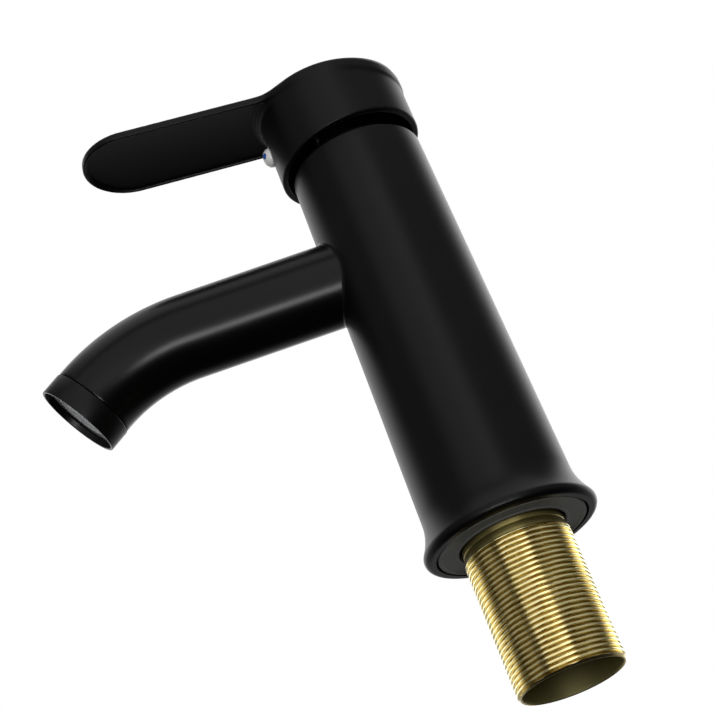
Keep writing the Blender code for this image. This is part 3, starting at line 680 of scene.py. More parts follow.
# a dimmer copy of the brass for the neck up in the foot's recess: painted shade and painted
# reflection of the black underside
SHADED_NECK_BRASS = replace(
    BORE_BRASS, name="neck_brass_painted_shade", tone=(0.44, 0.37, 0.14), second=(0.32, 0.26, 0.09),
    roughness=(0.32, 0.42),
)
TURNED_BRASS = replace(
    BORE_BRASS, name="turned_brass", tone=(0.80, 0.64, 0.28), second=(0.60, 0.43, 0.14),
    roughness=(0.20, 0.32), depth=0.000002,
)
RUBBER = Finish(
    "washer_rubber", "grey_rubber", (0.098, 0.101, 0.099), (0.122, 0.124, 0.121),
    0.0, (0.55, 0.70), Pattern.MOULDED, contrast=0.6, depth=0.000010, wear=0.6, specular=0.4,
)
STEEL = Finish(
    "drawn_steel", "stainless_steel", (0.60, 0.60, 0.61), (0.50, 0.50, 0.51),
    1.0, (0.24, 0.36), Pattern.TURNED, depth=0.000002,
)
SCREW_STEEL = replace(
    STEEL, name="blackened_steel", tone=(0.020, 0.020, 0.021), second=(0.012, 0.012, 0.012),
    roughness=(0.60, 0.72),
)
# the second colour is painted shade in the gaps between the screen's wires
SCREEN_STEEL = Finish(
    "screen_steel", "stainless_steel", (0.58, 0.58, 0.59), (0.10, 0.10, 0.10),
    1.0, (0.28, 0.40), Pattern.MESH, contrast=1.0, depth=0.000120, wear=0.4,
)
WHITE_PLASTIC = Finish(
    "moulded_white", "white_plastic", (0.80, 0.80, 0.78), (0.72, 0.72, 0.69),
    0.0, (0.34, 0.48), Pattern.MOULDED,
)
GREY_PLASTIC = replace(
    WHITE_PLASTIC, name="moulded_grey", slot="grey_plastic", tone=(0.42, 0.43, 0.44),
    second=(0.35, 0.36, 0.37), roughness=(0.38, 0.52),
)
CERAMIC = Finish(
    "lapped_ceramic", "alumina_ceramic", (0.86, 0.85, 0.80), (0.80, 0.78, 0.72),
    0.0, (0.12, 0.22), Pattern.MOULDED, scale=2.0, contrast=0.4, depth=0.000001,
)
RED_MARK = Finish(
    "red_mark", "red_dot", (0.55, 0.03, 0.03), (0.42, 0.02, 0.02),
    0.0, (0.30, 0.40), Pattern.MOULDED, contrast=0.4, depth=0.000003,
)
BLUE_MARK = replace(
    RED_MARK, name="blue_mark", slot="blue_dot", tone=(0.03, 0.12, 0.45),
    second=(0.02, 0.08, 0.34),
)


def dress(piece: bpy.types.Object, finish: Finish, body: Body, *nodes: str) -> bpy.types.Object:
    """Gives a new piece its finish and body, and lets it stand for solids of the model.

    Args:
        piece: The new piece, in place.
        finish: Its finish.
        body: The body it rides on.
        nodes: The solids that it replaces.

    Returns:
        The same piece.
    """
    piece.data.materials.clear()
    piece.data.materials.append(finish.build())
    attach(piece, body.value)
    if nodes:
        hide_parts(*nodes)
    faces = len(piece.data.polygons)
    LOG.info("%s: %d faces, %s, on %s", piece.name, faces, finish.name, body.value)
    return piece


# ------------------------------------------------------------------ the spout's line


@dataclass
class SpoutLine:
    """The centreline of the spout: a straight run, one bend and a short straight end."""

    height: float = 0.0963
    pitch: float = math.radians(1.0)
    straight: float = 0.0683
    bend_radius: float = 0.0578
    bend: float = math.radians(34.9)
    end_straight: float = 0.0012

    @property
    def length(self) -> float:
        """Length from the body's axis to the end of the tube."""
        return self.straight + self.bend_radius * self.bend + self.end_straight

    def heading(self, distance: float) -> float:
        """Slope of the line at a distance from the axis, up positive."""
        turn = (distance - self.straight) / self.bend_radius
        return self.pitch - min(max(turn, 0.0), self.bend)

    def point(self, distance: float) -> Vector:
        """The point at a distance along the line.

        Args:
            distance: Metres from the body's axis.

        Returns:
            The point.
        """
        run = min(distance, self.straight)
        forward, rise = run * math.cos(self.pitch), run * math.sin(self.pitch)
        heading = self.heading(distance)
        if distance > self.straight:
            forward += self.bend_radius * (math.sin(self.pitch) - math.sin(heading))
            rise -= self.bend_radius * (math.cos(self.pitch) - math.cos(heading))
        past = max(distance - self.straight - self.bend_radius * self.bend, 0.0)
        forward += past * math.cos(heading)
        rise += past * math.sin(heading)
        return Vector((0.0, -forward, self.height + rise))

    def along(self, distance: float) -> Vector:
        """Unit direction of the line."""
        heading = self.heading(distance)
        return Vector((0.0, -math.cos(heading), math.sin(heading)))

    def over(self, distance: float) -> Vector:
        """Unit direction square to the line, on its upper side."""
        heading = self.heading(distance)
        return Vector((0.0, math.sin(heading), math.cos(heading)))

    def ring(self, distance: float, radius: float, count: int) -> np.ndarray:
        """A circle of points about the line.

        Args:
            distance: Metres from the body's axis.
            radius: The circle's radius.
            count: Number of points.

        Returns:
            The points, one row each.
        """
        centre, up = np.array(self.point(distance)), np.array(self.over(distance))
        turns = 2 * math.pi * np.arange(count) / count
        side = np.array((1.0, 0.0, 0.0))
        return centre + radius * (np.cos(turns)[:, None] * up + np.sin(turns)[:, None] * side)

    def coped(self, radius: float, barrel: float, count: int) -> np.ndarray:
        """A ring of points where a tube of this radius meets an upright barrel.

        Args:
            radius: The tube's radius.
            barrel: The barrel's radius.
            count: Number of points.

        Returns:
            The points, one row each.
        """
        turns = 2 * math.pi * np.arange(count) / count
        rows = []
        for turn in turns:
            across = radius * math.sin(turn)
            reach = math.sqrt(barrel**2 - across**2) / math.cos(self.pitch)
            offset = radius * math.cos(turn) * self.over(0.0) + Vector((across, 0.0, 0.0))
            rows.append(self.point(reach) + offset)
        return np.array([tuple(r) for r in rows])

    def mouth(self, beyond: float) -> Matrix:
        """Stands a piece turned about z on the end of the line.

        Args:
            beyond: How far past the tube the piece's z = 0 comes.

        Returns:
            The piece's transform.
        """
        back = -self.along(self.length)
        turn = Vector((0, 0, 1)).rotation_difference(back).to_matrix().to_4x4()
        return Matrix.Translation(self.point(self.length) - beyond * back) @ turn


# ------------------------------------------------------------------ sub-assemblies


@dataclass
class BodyShell:
    """The tapered black body with its flared foot, and the washer in its underside."""

    top_radius: float = 0.0214
    foot_radius: float = 0.0229
    top_round: float = 0.0011
    bore: float = 0.0183
    lower_bore: float = 0.0188
    socket_radius: float = 0.0163
    flare_start: float = 0.0130
    lip_round: float = 0.0018
    lip_start: float = 31.0
    recess_radius: float = 0.0232
    recess_depth: float = 0.0027
    washer_gap: float = 0.0004
    washer_groove: float = 0.00035
    washer_lip: float = 0.0008
    barrel_stops: tuple[float, ...] = (0.060, 0.040, 0.024)
    hole_rows: int = 29
    hole_row_step: float = 0.0015
    hole_row_top: float = 0.118
    hole_row_bottom: float = 0.0750
    hole_clearance: float = 0.00006
    hole_reach: tuple[float, float] = (0.007, 0.029)
    shoulder: tuple[float, float] = (0.0567, 0.0597)
    shoulder_bore: float = 0.0168
    socket_top: float = 0.0187
    spout_radius: float = 0.0134

    def radius_at(self, z: float, top: float) -> float:
        """Outer radius at a height above the flare."""
        share = (top - z) / (top - self.flare_start)
        return self.top_radius + (self.foot_radius - self.top_radius) * share

    def flare(self, lip: float, steps: int = 18) -> Profile:
        """The cove from the body down to the lip, and the lip's round edge.

        Args:
            lip: The lip's radius.
            steps: Points down the cove.

        Returns:
            The points, from top to bottom.
        """
        centre = (lip - self.lip_round, self.lip_round)
        edge = arc(centre, self.lip_round, self.lip_start, -90, 14)
        radius, bottom = edge[0]
        cove: Profile = []
        for i in range(1, steps):
            share = i / steps
            out = self.foot_radius + (radius - self.foot_radius) * share * share
            cove.append((out, self.flare_start + (bottom - self.flare_start) * share))
        return cove + edge

    def profile(self, top: float, lip: float) -> Profile:
        """The whole half section, from the top edge down outside and back up inside.

        The rows about the spout's hole are close together, so that the cut stays clean.

        Args:
            top: The body's height.
            lip: The lip's radius.

        Returns:
            The closed section.
        """
        edge = self.top_round
        outer = arc((self.top_radius - edge, top - edge), edge, 90, 0, 8)
        rows = [self.hole_row_step * i for i in range(self.hole_rows)]
        stops = [top - 0.006, *(self.hole_row_top - row for row in rows), *self.barrel_stops]
        outer += [(self.radius_at(z, top), z) for z in stops]
        outer.append((self.foot_radius, self.flare_start))
        outer += self.flare(lip)
        low, high = self.shoulder
        inner: Profile = [
            (self.recess_radius, 0.0),
            (self.recess_radius, self.recess_depth),
            (self.socket_radius, self.recess_depth),
            (self.socket_radius, self.socket_top),
            (self.lower_bore, self.socket_top),
            (self.lower_bore, low),
            (self.shoulder_bore, low),
            (self.shoulder_bore, high),
            (self.bore, high),
            *((self.bore, self.hole_row_bottom + row) for row in rows),
            (self.bore, top),
        ]
        return outer + eased(inner, 0.0002, 2, closed=False)

    def build(self, line: SpoutLine) -> None:
        """Makes the body with its spout hole, and the washer.

        Args:
            line: The spout's centreline.
        """
        low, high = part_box("body")
        body = turned("body_shell", self.profile(high.z, high.x), 160)
        start, end = (line.point(reach) for reach in self.hole_reach)
        cut_away(body, [round_rod(self.spout_radius + self.hole_clearance, start, end)])
        dress(body, BODY_BLACK, Body.FIXED, "body")
        self.washer()
        LOG.info("body from z %.4f to %.4f", low.z, high.z)

    def washer(self) -> None:
        """The flat rubber ring with a moulded lip at each edge."""
        low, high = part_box("foot_gasket")
        outer, inner = high.x - self.washer_gap, self.socket_radius
        floor, lip = low.z + self.washer_groove, self.washer_lip
        slope = lip + 0.0002
        section: Profile = [
            (outer, high.z),
            (outer, low.z),
            (outer - lip, low.z),
            (outer - slope, floor),
            (inner + slope, floor),
            (inner + lip, low.z),
            (inner, low.z),
            (inner, high.z),
        ]
        washer = turned("foot_washer", eased(section, 0.0002))
        dress(washer, RUBBER, Body.FIXED, "foot_gasket")


@dataclass
class Shank:
    """The brass tube below the foot: a grooved neck, a fine helical thread and a bevelled end."""

    pitch: float = 0.0015
    crest: float = 0.0160
    depth: float = 0.00088
    wall: float = 0.0012
    neck_radius: float = 0.0154
    neck_end: float = -0.0034
    groove_z: float = -0.0014
    top: float = 0.0187
    recess_top: float = 0.0027
    groove: float = 0.00022
    end_round: float = 0.00030
    samples: int = 12
    segments: int = 108

    def thread_radius(self, z: np.ndarray, turn: np.ndarray, end: float) -> np.ndarray:
        """Radius of the threaded length.

        Args:
            z: Heights.
            turn: Angles about the axis, in radians.
            end: The height of the open end.

        Returns:
            The radius at each height and angle.
        """
        phase = np.mod(z / self.pitch - turn / (2 * math.pi), 1.0)
        wave = np.clip(np.abs(phase - 0.5) * 2.0 * 1.75 - 0.62, 0.0, 1.0)
        wave = wave * wave * (3.0 - 2.0 * wave)
        run_in = np.clip((self.neck_end - z) / (0.9 * self.pitch), 0.0, 1.0)
        bevel = np.clip((z - end) / (0.6 * self.pitch), 0.0, 1.0)
        root = self.crest - self.depth
        cut = self.crest - self.depth * wave * run_in
        start = self.neck_radius + (self.crest - self.neck_radius) * np.clip(run_in * 3.0, 0.0, 1.0)
        chamfer = root + (self.crest - root) * (0.25 + 0.75 * bevel)
        return np.minimum(np.minimum(cut, start), chamfer)

    def build(self) -> None:
        """Makes the shank as one closed tube."""
        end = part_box("threaded_shank")[0].z
        bore = self.crest - self.wall
        turns = 2 * math.pi * np.arange(self.segments) / self.segments
        rings: list[np.ndarray] = []

        def ring(radius: np.ndarray | float, z: float) -> None:
            """Adds one ring of points."""
            x, y = radius * np.cos(turns), radius * np.sin(turns)
            rings.append(np.column_stack([x, y, np.full_like(turns, z)]))

        collar = eased(
            [
                (bore, self.top),
                (self.crest, self.top),
                (self.crest, self.recess_top),
                (self.neck_radius, self.recess_top),
                (self.neck_radius, self.groove_z + 0.00018),
                (self.neck_radius - self.groove, self.groove_z),
                (self.neck_radius, self.groove_z - 0.00018),
                (self.neck_radius, self.neck_end + 0.0002),
            ],
            0.0002, 2, closed=False,
        )
        for radius, z in collar:
            ring(radius, z)
        last = end + self.end_round
        count = int(round((self.neck_end - last) / self.pitch * self.samples))
        for z in np.linspace(self.neck_end, last, count):
            ring(self.thread_radius(np.full_like(turns, z), turns, end), z)
        for radius, z in arc((bore + 0.00042, last), self.end_round, -20, -160, 6):
            ring(radius, z)
        for i in range(8):
            ring(bore, end + 0.0009 + (self.top - end - 0.0015) * i / 8)
        shank = looped("threaded_tube", rings)
        dress(shank, THREAD_BRASS, Body.FIXED, "threaded_shank")
        shank.data.materials.append(BORE_BRASS.build())
        shank.data.materials.append(SHADED_NECK_BRASS.build())
        for face in shank.data.polygons:
            if math.hypot(face.center.x, face.center.y) < bore + 0.0001:
                face.material_index = 1
            # the neck, up in the foot's recess, takes the dimmer brass: painted shade
            elif face.center.z > self.neck_end:
                face.material_index = 2


@dataclass
class Spout:
    """The bent black tube, the fillet at its root and the parts of its mouth."""

    line: SpoutLine = field(default_factory=SpoutLine)
    radius: float = 0.0134
    bore: float = 0.0105
    barrel_bore: float = 0.0186
    seat_radius: float = 0.0119
    seat_depth: float = 0.0070
    edge: float = 0.00022
    fillet: float = 0.0010
    count: int = 120
    stations: tuple[float, ...] = (0.020, 0.030, 0.045, 0.060)
    bend_steps: int = 40
    collar_radius: float = 0.0136
    collar_length: float = 0.0070
    ledge_radius: float = 0.0090
    ledge_depth: float = 0.0019
    cell: float = 0.0019
    cell_hole: float = 0.33

    def build(self, shell: BodyShell) -> None:
        """Makes the tube, its fillet and the mouth.

        Args:
            shell: The body that the tube comes out of.
        """
        self.tube()
        self.root_fillet(shell)
        self.collar()
        self.insert()

    def tube(self) -> None:
        """The bent tube with its coped root and its stepped end."""
        end, n = self.line.length, self.count
        bend = self.line.bend_radius * self.line.bend / self.bend_steps
        stations = [*self.stations]
        stations += [self.line.straight + bend * i for i in range(self.bend_steps + 1)]
        rings = [self.line.coped(self.radius, self.barrel_bore, n)]
        rings += [self.line.ring(s, self.radius, n) for s in stations]
        rings += [
            self.line.ring(end - self.edge - 0.0003, self.radius, n),
            self.line.ring(end - self.edge, self.radius - 0.00002, n),
            self.line.ring(end - 0.3 * self.edge, self.radius - 0.3 * self.edge, n),
            self.line.ring(end, self.radius - self.edge, n),
            self.line.ring(end, self.seat_radius, n),
            self.line.ring(end - self.seat_depth, self.seat_radius, n),
            self.line.ring(end - self.seat_depth, self.bore, n),
        ]
        inner = [s for s in reversed(stations) if s < end - self.seat_depth - 0.0005]
        rings += [self.line.ring(s, self.bore, n) for s in inner[::3]]
        rings.append(self.line.coped(self.bore, self.barrel_bore, n))
        dress(looped("bent_spout", rings), MATT_BLACK, Body.FIXED, "spout_tube")

    def root_fillet(self, shell: BodyShell) -> None:
        """The small fillet of solder under the coat, where the tube leaves the body.

        Args:
            shell: The body, for its outer radius.
        """
        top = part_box("body")[1].z
        along, over = self.line.along(0.0), self.line.over(0.0)
        sections: list[list[Vector]] = []
        for k in range(self.count):
            turn = 2 * math.pi * k / self.count
            out = math.cos(turn) * over + math.sin(turn) * Vector((1.0, 0.0, 0.0))
            distance = shell.foot_radius
            for _ in range(6):
                spot = self.line.point(distance) + self.radius * out
                barrel = shell.radius_at(spot.z, top)
                distance = math.sqrt(barrel**2 - spot.x**2) + spot.y + distance
            spot = self.line.point(distance) + self.radius * out
            normal = Vector((spot.x, spot.y, 0.0)).normalized()
            away = (out - out.dot(normal) * normal).normalized()
            first = spot + self.fillet * along - 0.00003 * out
            last = spot + self.fillet * away - 0.00005 * normal
            section = []
            for i in range(9):
                u = i / 8
                section.append(first * (1 - u) ** 2 + spot * (2 * u * (1 - u)) + last * u**2)
            section.append(spot - 0.0003 * (along + away))
            sections.append(section)
        rings = [
            np.array([tuple(section[i]) for section in sections]) for i in range(len(sections[0]))
        ]
        dress(looped("spout_root_fillet", rings), MATT_BLACK, Body.FIXED)

    def collar(self) -> None:
        """The aerator's collar: a thin rim round a recessed ledge, and its threaded spigot."""
        rim_wall = 0.0008
        section: Profile = [
            (0.0116, self.collar_length + 0.0050),
            (0.0116, self.collar_length),
            (self.collar_radius, self.collar_length),
            (self.collar_radius, 0.0),
            (self.collar_radius - rim_wall, 0.0),
            (self.collar_radius - rim_wall - 0.0003, self.ledge_depth),
            (self.ledge_radius, self.ledge_depth),
            (self.ledge_radius, self.ledge_depth + 0.0008),
            (0.0109, self.ledge_depth + 0.0008),
            (0.0109, self.collar_length + 0.0050),
        ]
        collar = turned("mouth_collar", eased(section, 0.00022, 4))
        collar.data.transform(self.line.mouth(self.collar_length + FIT))
        dress(collar, COLLAR_BLACK, Body.FIXED, "aerator_collar")

    def insert(self) -> None:
        """The light grey flow straightener with its honeycomb, and the woven screen behind it."""
        frame = self.line.mouth(self.collar_length + FIT)
        outer, front = 0.0106, self.ledge_depth + 0.0011
        face = self.ledge_radius - 0.0002
        top = front + 0.0080
        section: Profile = [
            (0.0, top),
            (outer, top),
            (outer, front),
            (face, front),
            (face, self.ledge_depth + 0.0001),
            (face - 0.0008, self.ledge_depth + 0.0001),
            (face - 0.0010, self.ledge_depth + 0.0005),
            (0.0, self.ledge_depth + 0.0005),
        ]
        insert = turned("flow_straightener", eased(section, 0.00012, 2, closed=False))
        cutters = bmesh.new()
        reach = face - 0.0017
        rows = int(reach / (self.cell * 0.866)) + 1
        for row in range(-rows, rows + 1):
            for col in range(-rows - 1, rows + 2):
                x = (col + 0.5 * (row % 2)) * self.cell
                y = row * self.cell * 0.866
                if math.hypot(x, y) > reach:
                    continue
                place = Matrix.Translation((x, y, self.ledge_depth + 0.0015))
                bmesh.ops.create_cone(
                    cutters, cap_ends=True, segments=6, radius1=self.cell * self.cell_hole,
                    radius2=self.cell * self.cell_hole, depth=0.0036,
                    matrix=place @ Matrix.Rotation(math.radians(30), 4, "Z"),
                )
        cut_away(insert, [placed("cells", cutters)])
        insert.data.transform(frame)
        dress(insert, GREY_PLASTIC, Body.FIXED, "aerator_insert")
        low = top + FIT
        disc: Profile = [(0.0, low + 0.0005), (outer, low + 0.0005), (outer, low), (0.0, low)]
        screen = turned("woven_screen", eased(disc, 0.0002, 3, closed=False), SMALL_SEGMENTS)
        screen.data.transform(frame)
        dress(screen, SCREEN_STEEL, Body.FIXED, "aerator_screen")


@dataclass
class Handle:
    """The lever: a round hub with a paddle that rises slightly and is hollowed underneath.

    The lever's sizes are in millimetres, because its shape is one signed distance. The last three,
    which are the plug's, are in metres.
    """

    hub_radius: float = 23.7
    hub_y: float = -0.8
    top: float = 161.0
    wall: float = 2.0
    roof: float = 4.0
    rim: float = 138.4
    rim_slope: float = math.tan(math.radians(4.7))
    boss_radius: float = 8.0
    boss_bottom: float = 143.0
    socket: float = 3.8
    socket_top: float = 152.3
    plug_z: float = 149.5
    plug_radius: float = 3.35
    screw_radius: float = 2.8
    root_y: float = -5.0
    pitch: float = math.radians(6.05)
    reach: float = 84.0
    root_half: float = 15.45
    tip_half: float = 15.9
    thickness: float = 2.4
    recess: float = 1.30
    dish: float = 0.0033
    recess_rim: float = 0.90
    edge_round: float = 0.75
    web_reach: float = 5.0
    web_height: float = 2.2
    web_slope: float = 0.55
    hub_gap: float = 1.6
    top_round: float = 1.3
    rim_round: float = 0.7
    root_fillet: float = 1.9
    step: float = 0.45
    crown: float = 0.0021
    seat: float = 0.0025
    mark: float = 0.00095

    def lever(self, p: np.ndarray, radial: np.ndarray) -> tuple[np.ndarray, np.ndarray]:
        """The paddle and the hollow under it.

        Args:
            p: Points, in millimetres.
            radial: Their distance outside the hub's wall.

        Returns:
            Signed distances of the paddle and of its hollow.
        """
        forward, rise = self.root_y - p[:, 1], p[:, 2] - self.top
        cos, sin = math.cos(self.pitch), math.sin(self.pitch)
        along = forward * cos + rise * sin - self.root_y
        over = rise * cos - forward * sin
        tip = self.reach - self.tip_half
        half = self.root_half + (self.tip_half - self.root_half) * np.clip(along / tip, 0.0, 1.0)
        outline = np.hypot(p[:, 0], along - np.clip(along, 2.0, tip)) - half
        slab = np.abs(over + self.thickness / 2) - self.thickness / 2
        paddle = blend_max(outline, slab, self.edge_round)
        web_plan = blend_min(outline, radial, self.web_reach)
        slope = rise - self.web_height - self.web_slope * radial
        web = blend_max(blend_max(web_plan, slab, self.edge_round), slope, 0.8)
        paddle = blend_min(paddle, web, 0.4)
        dish = self.recess - self.dish * p[:, 0] ** 2
        floor = over + self.thickness - dish
        hollow = blend_max(outline + self.recess_rim, floor, 0.3)
        hollow = blend_max(hollow, self.hub_gap - radial, 0.8)
        return paddle, hollow

    def shape(self, p: np.ndarray) -> np.ndarray:
        """The signed distance of the whole lever.

        Args:
            p: Points, in millimetres.

        Returns:
            Their signed distances.
        """
        y = p[:, 1] - self.hub_y
        from_axis = np.hypot(p[:, 0], y)
        radial = from_axis - self.hub_radius
        rim = self.rim + y * self.rim_slope - p[:, 2]
        hub = blend_max(radial, p[:, 2] - self.top, self.top_round)
        hub = blend_max(hub, rim, self.rim_round)
        paddle, hollow = self.lever(p, radial)
        solid = blend_min(hub, paddle, self.root_fillet)
        solid = blend_max(solid, -hollow, 0.45)
        cavity = blend_max(radial + self.wall, p[:, 2] - (self.top - self.roof), 1.0)
        boss = blend_max(from_axis - self.boss_radius, self.boss_bottom - p[:, 2], 0.6)
        cavity = blend_max(cavity, -boss, 0.6)
        solid = blend_max(solid, -cavity, 0.5)
        box = np.maximum(np.abs(p[:, 0]), np.abs(p[:, 1])) - self.socket
        solid = np.maximum(solid, -np.maximum(box, p[:, 2] - self.socket_top))
        bore = np.hypot(p[:, 0], p[:, 2] - self.plug_z)
        solid = np.maximum(solid, -np.maximum(bore - self.screw_radius, p[:, 1]))
        front = p[:, 1] - (self.hub_y - self.hub_radius + self.wall + 1.0)
        return blend_max(solid, -np.maximum(bore - self.plug_radius, front), 0.3)

    def build(self) -> None:
        """Makes the lever and the plug with its two marks."""
        low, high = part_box("handle")
        margin = 2.0
        start = [low.x / MM - margin, low.y / MM - margin, low.z / MM - margin]
        end = [high.x / MM + margin, high.y / MM + margin, high.z / MM + margin]
        lever = skinned("lever", self.shape, start, end, self.step)
        lever.data.set_sharp_from_angle(angle=math.radians(75.0))
        dress(lever, HANDLE_BLACK, Body.HANDLE, "handle")
        self.indicator()

    def indicator(self) -> None:
        """The white plug that hides the set screw, with a red and a blue mark."""
        low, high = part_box("indicator_plug")
        centre = Vector((0.0, low.y, (low.z + high.z) / 2))
        radius, length = high.x, high.y - low.y
        crown, seat = self.crown, self.seat
        section: Profile = [
            (0.0, length),
            (radius - 0.0004, length),
            (radius - 0.0004, seat + 0.0006),
            (radius, seat + 0.0003),
            *((radius * math.cos(a), seat - seat * math.sin(a)) for a in self.dome_angles()),
            (0.0, 0.0),
        ]
        plug = turned("indicator_cap", section, SMALL_SEGMENTS)
        upright = Matrix.Rotation(math.radians(-90.0), 4, "X")
        plug.data.transform(Matrix.Translation(centre) @ upright)
        marks = (("hot", -1.0, RED_MARK), ("cold", 1.0, BLUE_MARK))
        places = {}
        for name, side, _ in marks:
            level = math.sqrt(1 - (crown / radius) ** 2)
            spot = centre + Vector((side * crown, seat * (1 - level), 0))
            out = Vector((side * crown / radius**2, -level / seat, 0))
            places[name] = (spot, out.normalized())
        cutters = [
            round_rod(self.mark + 0.00008, spot - 0.0005 * out, spot + 0.001 * out, 32)
            for spot, out in places.values()
        ]
        notch = centre + Vector((0.0, seat, radius))
        cutters.append(
            round_rod(0.00045, notch - Vector((0.0011, 0, 0)), notch + Vector((0.0011, 0, 0)), 16)
        )
        cut_away(plug, cutters)
        dress(plug, WHITE_PLASTIC, Body.HANDLE, "indicator_plug")
        for name, _, finish in marks:
            spot, out = places[name]
            r = self.mark
            drop: Profile = [
                (0.0, -0.00045), (r, -0.00045), (r, -0.00004), (r * 0.85, 0.00003),
                (r * 0.5, 0.00006), (0.0, 0.00007),
            ]
            dot = turned(f"{name}_mark", drop, 32)
            turn = Vector((0, 0, 1)).rotation_difference(out).to_matrix().to_4x4()
            dot.data.transform(Matrix.Translation(spot) @ turn)
            dress(dot, finish, Body.HANDLE, f"{name}_dot")

    def dome_angles(self) -> list[float]:
        """Angles at which the plug's dome is drawn, short of its crown."""
        return [math.radians(90.0 * i / 14) for i in range(14)]


@dataclass
class Cartridge:
    """The works inside the body, seen in the gap below the lever and when it is lifted."""

    nut_bore: float = 0.0130
    nut_radius: float = 0.0180
    slot_size: tuple[float, float, float] = (0.06, 0.004, 0.0032)

    def build(self) -> None:
        """Makes the parts that can be seen, and dresses the others as they are."""
        self.bonnet()
        self.nut()
        self.keep()

    def bonnet(self) -> None:
        """The domed ring that covers the nut."""
        low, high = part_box("bonnet_ring")
        outer, tall = high.x, high.z - low.z
        crown = arc((outer - tall, low.z), tall, 90, 0, 14)
        section: Profile = [
            *crown,
            (outer - 0.0002, low.z),
            (self.nut_bore, low.z),
            (self.nut_bore, low.z + tall - 0.0003),
            (self.nut_bore + 0.0003, low.z + tall),
        ]
        # the ring wears the darker black coat: painted shade in the gap under the lever
        dress(turned("bonnet_cover", section), SHADED_INNER_BLACK, Body.FIXED, "bonnet_ring")

    def nut(self) -> None:
        """The brass nut that holds the cartridge down, with four spanner slots."""
        low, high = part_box("cartridge_nut")
        outer = self.nut_radius
        section: Profile = [
            (outer, high.z),
            (outer, low.z),
            (self.nut_bore, low.z),
            (self.nut_bore, high.z),
        ]
        nut = turned("holding_nut", eased(section, 0.0003), 96)
        slots = []
        for k in range(2):
            work = bmesh.new()
            bmesh.ops.create_cube(work, size=1.0)
            bmesh.ops.scale(work, vec=self.slot_size, verts=work.verts)
            turn = Matrix.Rotation(math.radians(90.0 * k), 4, "Z")
            work.transform(Matrix.Translation((0, 0, high.z)) @ turn)
            slots.append(placed("slot", work))
        cut_away(nut, slots)
        dress(nut, TURNED_BRASS, Body.FIXED, "cartridge_nut")

    def keep(self) -> None:
        """Dresses the solids whose plain shape is the real one."""
        finishes: dict[Finish, tuple[str, ...]] = {
            TURNED_BRASS: ("waterway_core",),
            RUBBER: (
                "core_seal_upper", "core_seal_lower", "aerator_seal",
                "inlet_seal_hot", "inlet_seal_cold", "outlet_seal",
            ),
            GREY_PLASTIC: ("cartridge_base",),
            WHITE_PLASTIC: ("cartridge_housing", "rotor", "disc_carrier"),
            CERAMIC: ("fixed_disc", "moving_disc"),
            STEEL: ("pivot_pin", "spindle"),
            SCREW_STEEL: ("set_screw",),
        }
        for finish, names in finishes.items():
            for name in names:
                for slot in bpy.data.objects[name].material_slots:
                    slot.material = finish.build()
                LOG.info("%s kept, %s", name, finish.name)


# ------------------------------------------------------------------ studio


@dataclass(frozen=True)
class SoftBox:
    """A rectangular light aimed at the tap, placed by angles about it.

    Attributes:
        name: The light's name.
        azimuth: Degrees from +X towards +Y.
        elevation: Degrees above the horizon.
        distance: Distance from the tap, in metres.
        width: Width, in metres.
        height: Height, in metres.
        radiance: Brightness of its face.
    """

    name: str
    azimuth: float
    elevation: float
    distance: float
    width: float
    height: float
    radiance: float

    def build(self, target: Vector) -> None:
        """Adds the light.

        Args:
            target: The point that it faces.
        """
        data = bpy.data.lights.new(self.name, "AREA")
        data.shape = "RECTANGLE"
        data.size, data.size_y = self.width, self.height
        data.energy = self.radiance * math.pi * self.width * self.height
        turn, rise = math.radians(self.azimuth), math.radians(self.elevation)
        flat = math.cos(rise)
        away = Vector((flat * math.cos(turn), flat * math.sin(turn), math.sin(rise)))
        light = bpy.data.objects.new(self.name, data)
        light.location = target + away * self.distance
        light.rotation_euler = away.to_track_quat("Z", "Y").to_euler()
        bpy.context.scene.collection.objects.link(light)


